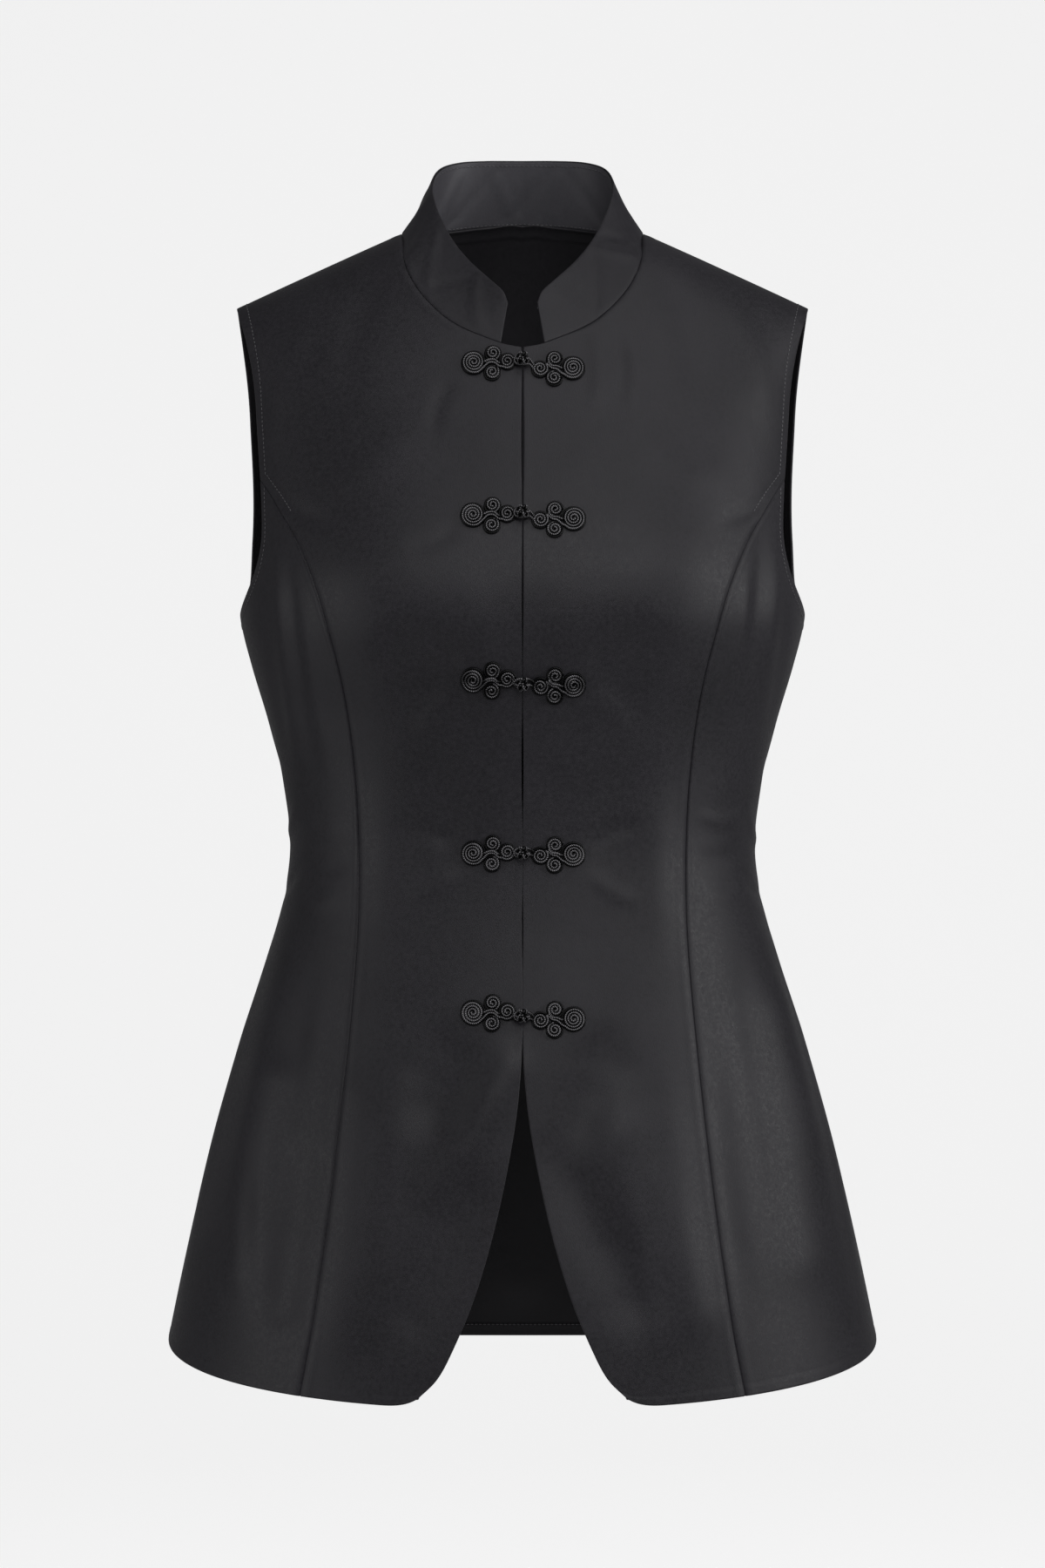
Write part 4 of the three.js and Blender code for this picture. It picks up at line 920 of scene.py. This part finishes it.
# Share of the collar's length, lean, reach and lift of its soft crumples
COLLAR_RIPPLES = (
    (0.055, 0.5, 5, 0.5), (0.105, -0.7, 4, -0.5), (0.16, 0.9, 6, 0.5), (0.235, 0.4, 7, -0.6),
    (0.315, -0.6, 5, 0.5), (0.385, 0.5, 4, -0.6), (0.43, 0.9, 4.5, 0.6), (0.472, -0.5, 3.5, -0.5),
    (0.513, 0.8, 4, 0.6), (0.552, 0.3, 4, -0.6), (0.595, -0.8, 5, 0.5), (0.66, 0.5, 6, -0.5),
    (0.735, -0.4, 7, 0.6), (0.8, 0.6, 3.2, -0.7), (0.832, 0.55, 3.4, 0.6), (0.89, -0.8, 5, -0.4),
    (0.945, 0.5, 4, 0.4),
)


def make_collar(name, depth, thickness, low_rise, top_drop):
    front = NECK_FRONT[NECK_FRONT[:, 0] > COLLAR_END]
    low_half = np.vstack([NECK_BACK, front[::-1][1:]])
    low, high = (
        np.vstack([half[:0:-1] * np.array([-1, 1, 1]), half])
        for half in (smooth_curve(low_half, 240), smooth_curve(COLLAR_TOP, 240))
    )
    columns = stations(np.linalg.norm(np.diff(low, axis=0), axis=1).sum())
    at = columns / (columns[0] + columns[-1]) * (len(low) - 1)
    pick = np.arange(len(low))
    low, high = (np.stack([np.interp(at, pick, line[:, axis]) for axis in range(3)], -1) for line in (low, high))
    rise = unit(high - low)
    start, end = low + rise * low_rise, high - rise * top_drop
    heights = np.linalg.norm(end - start, axis=1)
    height = heights.max()
    marks = stations(height)
    t = np.stack([fitted(marks, height, own) for own in heights], -1)[..., None]
    middle = start + (end - start) * t
    outwards = middle * np.array([1, 1, 0])
    normals = grid_normals(middle, outwards)
    run, inside_edges = columns[None, :], smoothstep(0, 9, marks) * smoothstep(0, 9, height - marks)
    ripple = np.zeros((len(marks), len(columns)))
    for at, lean, reach, lift in COLLAR_RIPPLES:
        ripple += lift * np.exp(-(((run - at * columns[-1] - lean * (marks[:, None] - height / 2)) / reach) ** 2))
    middle = middle + normals * (ripple * inside_edges[:, None])[..., None]
    normals = grid_normals(middle, outwards)
    layer = middle - normals * depth
    relief = (-0.2 * np.exp(-((height - marks) ** 2)) - 0.25 * np.exp(-(marks ** 2)))[:, None, None]
    outer = layer + normals * (relief if depth == 0 else 0)
    inner = layer - normals * (thickness + (0 if depth == 0 else relief))
    lengths = np.concatenate([[0], np.cumsum(np.linalg.norm(np.diff(middle[len(marks) // 2], axis=0), axis=1))])
    uv = np.stack(np.broadcast_arrays(lengths[None, :], marks[:, None]), -1)
    grids[name] = (outer, inner, normals, marks, columns)
    return shell(name, outer, inner, uv)


pieces["collar_outer"] = make_collar("collar_outer_cloth", 0, COLLAR_LAYER, -0.1, 0)
pieces["collar_inner"] = make_collar("collar_inner_cloth", COLLAR_LAYER + 0.05, COLLAR_LAYER, -0.3, 0.5)

# %% [markdown]
# The fastenings are knotted from a twisted cord of three plies, a little under 2 mm thick. A cord here is
# a tube along a path whose round section has three soft lobes that turn along it, so the plies
# catch the light as small beads. Its path is drawn flat, in the front view, with a height over the cloth.
# %% Cord
CORD = 1.5
BEAD = 1.1
PLIES = 3
CORD_SIDES = 10
CORD_STEP = 0.27


def lay_on_cloth(flat):
    """Points (x, z, height over the cloth) of the front view, as points in space"""
    spots = place("front", flat[:, 0], flat[:, 1])
    points = cloth_point("front", spots[:, 0], spots[:, 1])
    return points + normal_of(form_point, "front", spots[:, 0], spots[:, 1]) * flat[:, 2:3]


def cord_tube(path, radius=CORD / 2, centre=None):
    """Points, faces, UV and painted-highlight mask of a twisted cord; the mask is 1 on the side that faces out, where
    a highlight is painted on the beads of the plies
    """
    length = np.linalg.norm(np.diff(path, axis=0), axis=1).sum()
    path = smooth_curve(path[:: max(1, len(path) // 400)], max(8, round(length / CORD_STEP)))
    tangent = unit(np.gradient(path, axis=0))
    side = np.zeros_like(path)
    side[0] = unit(np.cross(tangent[0], (0.3, 0.9, 0.31)))
    for index in range(1, len(path)):
        side[index] = unit(side[index - 1] - tangent[index] * (side[index - 1] @ tangent[index]))
    other = np.cross(tangent, side)
    run = np.linspace(0, length, len(path))
    turn = np.linspace(0, 2 * math.pi, CORD_SIDES, endpoint=False)[None, :]
    lobes = 1 + 0.19 * np.cos(PLIES * turn - 2 * math.pi * run[:, None] / BEAD)
    ends = np.sqrt(np.clip(np.minimum(run, length - run) / radius, 0.02, 1))[:, None]
    reach = radius * lobes * ends
    spoke = np.cos(turn)[..., None] * side[:, None] + np.sin(turn)[..., None] * other[:, None]
    ring = path[:, None] + reach[..., None] * spoke
    outwards = np.array([0, -1.0, 0.12]) + 0 * path if centre is None else unit(path - centre)
    # Painted highlight: a light colour on the side that faces out and on the rising plies
    painted_highlight = smoothstep(0.85, 1.0, np.sum(spoke * unit(outwards)[:, None], -1)) * smoothstep(0.86, 1.16, lobes)
    index = np.arange(len(path) * CORD_SIDES).reshape(-1, CORD_SIDES)
    after = np.roll(index, -1, axis=1)
    faces = np.stack([index[:-1], after[:-1], after[1:], index[1:]], -1).reshape(-1, 4)
    uv = np.stack(np.broadcast_arrays(run[:, None], turn * radius), -1)
    caps = [index[0][::-1].tolist(), index[-1].tolist()]
    return ring.reshape(-1, 3), faces.tolist() + caps, uv.reshape(-1, 2), painted_highlight.ravel()


def cord_piece(name, paths):
    points, faces, uvs, painted_highlights, start = [], [], [], [], 0
    for path, radius, *centre in paths:
        ring, quads, uv, painted_highlight = cord_tube(path, radius, *centre)
        faces += [[corner + start for corner in face] for face in quads]
        points.append(ring)
        uvs.append(uv)
        painted_highlights.append(painted_highlight)
        start += len(ring)
    points, uvs, painted_highlights = np.concatenate(points), np.concatenate(uvs), np.concatenate(painted_highlights)
    return turn_faces_out(new_mesh(name, points, faces, uvs, "cord", painted_highlight=painted_highlights))


print("beads of the cord every", BEAD, "mm")

# %% [markdown]
# Each half has a large coil at its far end, two small ones side by side and one next to the ball. One cord
# is wound into the far coil, runs between the middle two as an S and is wound into the near coil;
# a second cord runs beside it, and the middle coils have cords of their own that tuck under it.
# %% Coils and links
BIG, MIDDLE, SMALL = 7.2, 4.95, 5.15
FROGS = (
    (-84.9, -1.0, -1.6), (-177.2, -1.0, -0.5), (-274.7, 0.9, 0.8), (-374.3, -0.7, 1.3), (-469.6, 1.8, 0.8),
)
# Far, upper, lower and near coil, as seen from the front, from the ball; which way each is wound and at
# what angle its cord leaves; the places (x, z) of the long cord between the coils and (x, z, lift) of the
# cord beside it, and the angles at which that one starts at the far coil and ends at the near one
KNOT_HALF = (
    ((-28.8, 0.5), (-17.4, 6.1), (-17.9, -5.6), (-8.9, 1.2)), (1, -1, 1, -1), (-62, -100, 80, 232),
    ((-22.9, -2.6), (-19.9, 0.15), (-16.6, 0.2), (-13.9, -1.9)),
    ((-22.2, 0.6, 0.3), (-19.6, 1.7, 0.5), (-16.6, 1.75, 0.5), (-14.2, 0.0, 0.4)), (-20, -12), (205, 225),
)
LOOP_HALF = (
    ((29.7, -2.2), (19.0, 3.2), (18.7, -8.4), (10.4, -2.9)), (-1, 1, -1, 1), (222, -80, 95, 38),
    ((23.0, -5.6), (20.2, -3.2), (17.4, -2.5), (14.9, -0.6)),
    ((22.8, -2.6, 0.3), (20.3, -1.6, 0.5), (17.2, -1.2, 0.5), (15.3, 0.5, 0.4)), (190, 184), (30, 50),
)
# The first layer of each coil, a ring under its outer turn whose painted highlight faces the cloth, so the side that
# shows is painted shade round the coil
UNDER = (BIG, MIDDLE, MIDDLE, SMALL)
LIE = CORD / 2 + 0.85


def coil(centre, radius, end_angle, way, lift=0.0, tuck=0.0):
    """A flat spiral from its middle outwards, wound one way (1 or -1); its end may tuck under another"""
    outermost = radius - CORD / 2
    pitch = 1.12 * CORD
    turns = (outermost - 0.35 * CORD) / pitch
    share = np.linspace(0, 1, max(24, round(turns * 20)))
    reach = outermost - pitch * turns * (1 - share)
    angle = math.radians(end_angle) - way * 2 * math.pi * turns * (1 - share)
    tail = smoothstep(1 - 0.16 / turns, 1, share) * tuck
    dome = LIE + lift + 0.55 * (1 - share) ** 2 - tail
    return np.stack([centre[0] + reach * np.cos(angle), centre[1] + reach * np.sin(angle), dome], -1)


def arc(centre, radius, low, high, height, count):
    angle = np.radians(np.linspace(low, high, count))
    x, z = centre[0] + radius * np.cos(angle), centre[1] + radius * np.sin(angle)
    return np.stack([x, z, np.full(count, height)], -1)


def half_paths(coils, ways, exits, middle, beside, leave, arrive):
    """Flat paths of one half: the long cord, the cord beside it, two coils and the first layers"""
    far, upper, lower, near = coils
    return [
        np.vstack([
            coil(far, BIG, exits[0], ways[0]), [(x, z, LIE) for x, z in middle],
            coil(near, SMALL, exits[3], ways[3])[::-1],
        ]),
        np.vstack([
            arc(far, BIG - 2.4, *leave, 0.2, 3), [(x, z, LIE + lift) for x, z, lift in beside],
            arc(near, SMALL - 2.2, *arrive, 0.2, 3),
        ]),
        coil(upper, MIDDLE, exits[1], ways[1], 0.1, 0.9), coil(lower, MIDDLE, exits[2], ways[2], 0.1, 0.9),
        # The first layers: painted shade round each coil
        *(arc(centre, radius - 0.36 * CORD, 0, 360, 0.62, 24) for centre, radius in zip(coils, UNDER)),
    ]


print("paths of a half:", len(half_paths(*KNOT_HALF)))

# %% [markdown]
# The ball is a button knot: one cord woven round and round, over and under itself. Its path runs on a
# sphere, three times round while it swings five times up and down, and it rises and dips ten times
# at the crossings. A shank of two cords holds it, and the other half's loop goes round that shank.
# %% Ball, shank and loop
BALL_RADIUS = 3.2
STANDOFF = 5.7


def button_knot(centre, tip):
    t = np.linspace(0, 2 * math.pi, 330)
    latitude = math.radians(62) * np.cos(5 * t)
    reach = BALL_RADIUS + 0.42 * np.sin(10 * t)
    level = reach * np.cos(latitude)
    across = np.stack([level * np.cos(3 * t), level * np.sin(3 * t), reach * np.sin(latitude)], -1)
    pole = unit(np.array(tip, float))
    first = unit(np.cross(pole, (0.2, 0.1, 1)))
    second = np.cross(pole, first)
    return centre + across @ np.stack([first, second, pole])


def half_on_cloth(half, z, lift, eye):
    """Cords of one half at a height, as paths, radii and, for the first layers, a point in front that their painted
    highlight turns away from, so the side that shows is painted shade
    """
    paths = [(lay_on_cloth(path + np.array([0, z + lift, 0])), CORD / 2) for path in half_paths(*half)]
    return paths[:4] + [(*entry, eye) for entry in paths[4:]]


def shank(z, lift, side):
    x, near_z = KNOT_HALF[0][3]
    return np.array([
        (x + 2.2, z + lift + near_z + side, 0.3), (-5.0, z + 0.4 * lift + side, LIE + 0.1),
        (-2.6, z + 0.7 * side, LIE + 0.7), (-0.6, z + 0.4 * side, STANDOFF - 1.2),
    ])


def loop_arm(z, lift, side):
    x, near_z = LOOP_HALF[0][3]
    return [
        (x - 2.6, z + lift + near_z + side * 1.3, 0.3), (4.4, z + 0.4 * lift + side * 1.6, LIE + 0.5),
        (0.8, z + side * 2.7, LIE + 1.2), (-3.4, z + side * 2.3, LIE + 1.9),
    ]


def frog(number, z, knot_lift, loop_lift):
    ball = lay_on_cloth(np.array([[0.001, z, STANDOFF]]))[0]
    far_in_front = ball - (0, 500, 0)
    core = np.array([ball + (0, 0, -1.7), ball, ball + (0, 0, 1.7)])
    loop = np.array([*loop_arm(z, loop_lift, 1), (-4.9, z, LIE + 2.1), *loop_arm(z, loop_lift, -1)[::-1]])
    cords = {
        "knot": half_on_cloth(KNOT_HALF, z, knot_lift, far_in_front) + [
            *((lay_on_cloth(smooth_curve(shank(z, knot_lift, side), 20)), CORD / 2) for side in (-0.8, 0.8)),
            (button_knot(ball, (0.25, -1, 0.25)), 0.78, ball), (smooth_curve(core, 14), 2.3, ball + (0, 9, 0)),
        ],
        "loop": half_on_cloth(LOOP_HALF, z, loop_lift, far_in_front) + [
            (lay_on_cloth(smooth_curve(loop, 60)), CORD / 2),
        ],
    }
    for half, paths in cords.items():
        pieces[f"frog_{number}_{half}"] = cord_piece(f"frog_{number}_{half}_cord", paths)


for number, heights in enumerate(FROGS, 1):
    frog(number, *heights)


def triangles_of(piece):
    return sum(len(face.vertices) - 2 for face in piece.data.polygons)


print("triangles of a half:", triangles_of(pieces["frog_1_knot"]))

# %% [markdown]
# Stitches are short raised grains of thread. One grain is modelled once and set along the lines that show
# topstitching: round both armholes, along the collar's top edge and the neck seam inside, and along the
# hem's turn-up inside the back. Each row is one piece.
# %% One stitch
deselect_all()
bpy.ops.mesh.primitive_uv_sphere_add(segments=6, ring_count=4, radius=1)
grain = bpy.context.object
bpy.ops.object.mode_set(mode="EDIT")
bpy.ops.mesh.select_all(action="SELECT")
bpy.ops.transform.resize(value=(0.42, 0.28, 1.05))
bpy.ops.object.mode_set(mode="OBJECT")
GRAIN = np.array([vertex.co[:] for vertex in grain.data.vertices])
GRAIN_FACES = [list(face.vertices) for face in grain.data.polygons]
bpy.data.objects.remove(grain)
print("faces of a stitch:", len(GRAIN_FACES))

# %% [markdown]
# A row follows a line on a panel's grid at a set distance from one of its edges, on the outside round
# the armholes and on the inside at collar and hem. Each grain lies along the row, half sunk in the cloth.
# %% Rows of stitches
STITCH_PITCH = 2.7


def stitch_rows(name, rows):
    points, faces, start = [], [], 0
    for line, normals in rows:
        length = np.concatenate([[0], np.cumsum(np.linalg.norm(np.diff(line, axis=0), axis=1))])
        at = np.arange(STITCH_PITCH / 2, length[-1], STITCH_PITCH)
        spots, ahead, up = (
            np.stack([np.interp(where, length, values[:, axis]) for axis in range(3)], -1)
            for where, values in ((at, line), (at + 0.5, line), (at, normals))
        )
        up = unit(up)
        tangent = unit(ahead - spots - up * np.sum((ahead - spots) * up, -1, keepdims=True))
        side = np.cross(tangent, up)
        for spot, t, n, b in zip(spots, tangent, up, side):
            points.append(spot + n * 0.05 + GRAIN @ np.stack([b, n, t]))
            faces += [[corner + start for corner in face] for face in GRAIN_FACES]
            start += len(GRAIN)
    print(name, start // len(GRAIN), "stitches")
    return turn_faces_out(new_mesh(name, np.concatenate(points), faces))


def line_at(grid, normals, marks, away, edge):
    """Line on a grid a distance from one of its edges: first or last row, first or last column"""
    if edge in ("inner", "outer"):
        grid, normals = np.swapaxes(grid, 0, 1), np.swapaxes(normals, 0, 1)
    wanted = away if edge in ("bottom", "inner") else marks[-1] + marks[0] - away
    at = np.interp(wanted, marks, np.arange(len(marks)))
    low = int(at)
    share = at - low
    mixed = lambda values: (1 - share) * values[low] + share * values[low + 1]
    return mixed(grid), unit(mixed(normals))


def armhole_row(name, edge, from_share=0.0):
    outer, _, normals, row_marks, column_marks = grids[name]
    line, up = line_at(outer, normals, row_marks if edge == "top" else column_marks, ARM_STITCH, edge)
    start = int(np.searchsorted(row_marks, from_share * row_marks[-1])) + 1
    return line[start:-1], up[start:-1]


def inside_row(name, away, edge):
    _, inner, normals, row_marks, _ = grids[name]
    return line_at(inner, -normals, row_marks, away, edge)


threads = {}
for side, back_edge in (("left", "outer"), ("right", "inner")):
    threads[f"armhole_stitches_{side}"] = stitch_rows(f"armhole_stitches_{side}", [
        armhole_row(f"front_{side}_cloth", "outer", PRINCESS_SHARE),
        armhole_row(f"side_front_{side}_cloth", "top"),
        armhole_row("back_cloth", back_edge, ARM_SHARE),
    ])
threads["collar_stitches"] = stitch_rows("collar_stitches", [
    inside_row("collar_inner_cloth", 3.0, "top"), inside_row("collar_inner_cloth", 1.4, "bottom"),
])
threads["hem_stitches"] = stitch_rows("hem_stitches", [inside_row("back_cloth", 7.3, "bottom")])

# %% [markdown]
# All the cloth is one satin: black, with a fine weave whose long floats give a soft sheen, and slight
# unevenness from pressing and wear. The weave and the unevenness are node groups, so each finish can
# use them with its own values. The weave follows the pieces' own UV map, which is in metres of cloth.
# %% Node groups


def new_group(name, inputs, outputs):
    group = bpy.data.node_groups.new(name, "ShaderNodeTree")
    for label, value in inputs.items():
        socket = group.interface.new_socket(name=label, in_out="INPUT", socket_type="NodeSocketFloat")
        socket.default_value = value
    for label in outputs:
        group.interface.new_socket(name=label, in_out="OUTPUT", socket_type="NodeSocketFloat")
    return group, group.nodes.new("NodeGroupInput"), group.nodes.new("NodeGroupOutput")


def add(tree, kind, values=None, **settings):
    node = tree.nodes.new(kind)
    for setting, value in settings.items():
        setattr(node, setting, value)
    for socket, value in (values or {}).items():
        node.inputs[socket].default_value = value
    return node


def wire(tree, *pairs):
    for source, target in pairs:
        tree.links.new(source, target)


weave, weave_in, weave_out = new_group("satin_weave", {"Thread": 0.0003, "Float": 0.0016}, ["Height"])
uv = add(weave, "ShaderNodeUVMap", uv_map="cloth")
parts = add(weave, "ShaderNodeSeparateXYZ")
across = add(weave, "ShaderNodeMath", operation="DIVIDE")
down = add(weave, "ShaderNodeMath", operation="DIVIDE")
both = add(weave, "ShaderNodeCombineXYZ")
floats = add(weave, "ShaderNodeTexNoise", {"Scale": 1.0, "Detail": 2.0, "Roughness": 0.6})
wire(
    weave, (uv.outputs["UV"], parts.inputs[0]),
    (parts.outputs["X"], across.inputs[0]), (weave_in.outputs["Thread"], across.inputs[1]),
    (parts.outputs["Y"], down.inputs[0]), (weave_in.outputs["Float"], down.inputs[1]),
    (across.outputs[0], both.inputs["X"]), (down.outputs[0], both.inputs["Y"]),
    (both.outputs[0], floats.inputs["Vector"]), (floats.outputs["Fac"], weave_out.inputs["Height"]),
)

uneven, uneven_in, uneven_out = new_group("uneven_cloth", {"Broad": 14.0, "Fine": 420.0}, ["Broad", "Fine"])
position = add(uneven, "ShaderNodeTexCoord")
broad = add(uneven, "ShaderNodeTexNoise", {"Detail": 3.0, "Roughness": 0.5})
fine = add(uneven, "ShaderNodeTexNoise", {"Detail": 4.0, "Roughness": 0.55})
wire(
    uneven, (position.outputs["Object"], broad.inputs["Vector"]), (position.outputs["Object"], fine.inputs["Vector"]),
    (uneven_in.outputs["Broad"], broad.inputs["Scale"]), (uneven_in.outputs["Fine"], fine.inputs["Scale"]),
    (broad.outputs["Fac"], uneven_out.inputs["Broad"]), (fine.outputs["Fac"], uneven_out.inputs["Fine"]),
)
print("groups:", [group.name for group in bpy.data.node_groups])

# %% [markdown]
# A finish mixes two near shades and varies the gloss by the unevenness. Satin adds the weave as a fine bump
# over a soft one. The cord is black with fine fibres, and a painted highlight, marked by a value on the mesh,
# lightens the side of its plies that faces out. The wrong side of the satin is duller, and the collar's facing is the
# same satin with painted light, much lighter.
# %% Finishes
def mixed_shade(tree, dark, light):
    shade = add(tree, "ShaderNodeMix", data_type="RGBA")
    shade.inputs["A"].default_value = (*dark, 1)
    shade.inputs["B"].default_value = (*light, 1)
    return shade


def begin_finish(name, dark, light, roughness, ior, sizes=None):
    material = bpy.data.materials.new(name)
    material.use_nodes = True
    tree = material.node_tree
    surface = tree.nodes["Principled BSDF"]
    surface.inputs["IOR"].default_value = ior
    patches = add(tree, "ShaderNodeGroup", sizes, node_tree=uneven)
    gloss = add(tree, "ShaderNodeMapRange", {
        "From Min": 0.3, "From Max": 0.7, "To Min": roughness[0], "To Max": roughness[1]})
    wire(
        tree, (patches.outputs["Fine"], gloss.inputs["Value"]),
        (gloss.outputs["Result"], surface.inputs["Roughness"]),
    )
    return material, tree, surface, patches, mixed_shade(tree, dark, light)


def cloth_finish(name, dark, light, roughness, sheen, bump):
    material, tree, surface, patches, colour = begin_finish(name, dark, light, roughness, 1.3)
    surface.inputs["Sheen Weight"].default_value = sheen
    surface.inputs["Sheen Roughness"].default_value = 0.35
    threads_of = add(tree, "ShaderNodeGroup", node_tree=weave)
    weave_bump = add(tree, "ShaderNodeBump", {"Strength": bump, "Distance": 0.00012})
    soft_bump = add(tree, "ShaderNodeBump", {"Strength": 0.5, "Distance": 0.0012})
    both_sizes = add(tree, "ShaderNodeMath", operation="ADD")
    share = add(tree, "ShaderNodeMapRange", {"From Min": 0.6, "From Max": 1.4})
    wire(
        tree, (patches.outputs["Broad"], both_sizes.inputs[0]), (patches.outputs["Fine"], both_sizes.inputs[1]),
        (both_sizes.outputs[0], share.inputs["Value"]), (share.outputs["Result"], colour.inputs["Factor"]),
        (colour.outputs["Result"], surface.inputs["Base Color"]),
        (patches.outputs["Broad"], soft_bump.inputs["Height"]),
        (threads_of.outputs["Height"], weave_bump.inputs["Height"]),
        (soft_bump.outputs["Normal"], weave_bump.inputs["Normal"]),
        (weave_bump.outputs["Normal"], surface.inputs["Normal"]),
    )
    return material


def cord_finish(name, dark, light, roughness, ior, painted_highlight=None):
    sizes = {"Broad": 260.0, "Fine": 2600.0}
    material, tree, surface, patches, colour = begin_finish(name, dark, light, roughness, ior, sizes)
    fibres = add(tree, "ShaderNodeBump", {"Strength": 0.4, "Distance": 0.0001})
    shade = colour
    # The painted highlight: a value on the mesh mixes the cord's dark towards a light colour on its outward side
    if painted_highlight:
        top = add(tree, "ShaderNodeAttribute", attribute_name="painted_highlight")
        shade = mixed_shade(tree, dark, painted_highlight)
        wire(tree, (top.outputs["Fac"], shade.inputs["Factor"]), (colour.outputs["Result"], shade.inputs["A"]))
    wire(
        tree, (patches.outputs["Broad"], colour.inputs["Factor"]),
        (shade.outputs["Result"], surface.inputs["Base Color"]),
        (patches.outputs["Fine"], fibres.inputs["Height"]), (fibres.outputs["Normal"], surface.inputs["Normal"]),
    )
    return material


satin = cloth_finish(
    "satin_cloth", (0.0115, 0.0109, 0.0132), (0.0215, 0.0203, 0.0243), (0.38, 0.54), 0.04, 0.7)
satin_inside = cloth_finish(
    "satin_wrong_side", (0.0095, 0.0090, 0.0108), (0.0145, 0.0138, 0.0163), (0.46, 0.56), 0.05, 0.4)
# The collar's facing: the same satin with painted light, much lighter than the cloth
satin_painted_light = cloth_finish(
    "satin_painted_light", (0.0460, 0.0446, 0.0510), (0.0560, 0.0545, 0.0620), (0.42, 0.50), 0.08, 0.7)
# The cord's last colour is its painted highlight, on the side that faces out
cord = cord_finish(
    "twisted_cord", (0.0008, 0.0008, 0.0010), (0.0022, 0.0022, 0.0026), (0.26, 0.36), 1.22, (0.30, 0.293, 0.31))
thread = cord_finish("sewing_thread", (0.040, 0.039, 0.043), (0.070, 0.068, 0.074), (0.35, 0.5), 1.5)
print("finishes:", [material.name for material in bpy.data.materials])

# %% [markdown]
# The studio's paper is a mid grey that glows for the camera only, so it looks nearly white and yet throws
# little light on the top. It is matt, with a faint mottle.
# %% Studio paper
PAPER_SEEN, PAPER_GIVEN = 0.735, 0.04
studio_paper = bpy.data.materials.new("studio_paper")
studio_paper.use_nodes = True
tree = studio_paper.node_tree
paper = tree.nodes["Principled BSDF"]
paper.inputs["Roughness"].default_value = 0.9
paper.inputs["Specular IOR Level"].default_value = 0.1
paper.inputs["Emission Color"].default_value = (1, 1, 1, 1)
position_on_paper = add(tree, "ShaderNodeTexCoord")
seen = add(tree, "ShaderNodeLightPath")
glow = add(tree, "ShaderNodeMapRange", {"To Min": PAPER_GIVEN, "To Max": PAPER_SEEN})
mottle = add(tree, "ShaderNodeTexNoise", {"Scale": 1.2, "Detail": 2.0})
paper_colour = mixed_shade(tree, (0.50, 0.50, 0.503), (0.515, 0.515, 0.518))
wire(
    tree, (seen.outputs["Is Camera Ray"], glow.inputs["Value"]),
    (glow.outputs["Result"], paper.inputs["Emission Strength"]),
    (position_on_paper.outputs["Object"], mottle.inputs["Vector"]),
    (mottle.outputs["Fac"], paper_colour.inputs["Factor"]),
    (paper_colour.outputs["Result"], paper.inputs["Base Color"]),
)
studio.data.materials.append(studio_paper)
print("paper for the camera:", PAPER_SEEN, "for the light:", PAPER_GIVEN)

# %% [markdown]
# A shell has two slots: the first for its outside and rim, the second for its inside. The inner collar
# turns its wrong side to the outer one, so its facing is what shows, and that facing takes the satin with painted
# light.
# %% Which piece has which finish
for node, piece in pieces.items():
    slots = [cord] if node.startswith("frog") else [satin, satin_inside]
    if node == "collar_inner":
        slots = [satin_inside, satin_painted_light]
    for material in slots:
        piece.data.materials.append(material)
for piece in threads.values():
    piece.data.materials.append(thread)
print("dressed pieces:", len(pieces), "rows of stitches:", len(threads))

# %% [markdown]
# Each piece of cloth or cord takes the place of one solid, which is hidden. The stitches
# stand for no solid. The whole top is one body, so every piece rides on the root.
# %% Ride and replace
for node, piece in pieces.items():
    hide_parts(node)
    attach(piece, "root")
for piece in threads.values():
    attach(piece, "root")
print("pieces that ride on the body:", len(pieces) + len(threads))

# %% [markdown]
# The triangles of the dressed top are counted, in all and in its largest piece.
# %% Finish
counts = [triangles_of(piece) for piece in (*pieces.values(), *threads.values())]
print("triangles in all:", sum(counts), "in the largest piece:", max(counts))
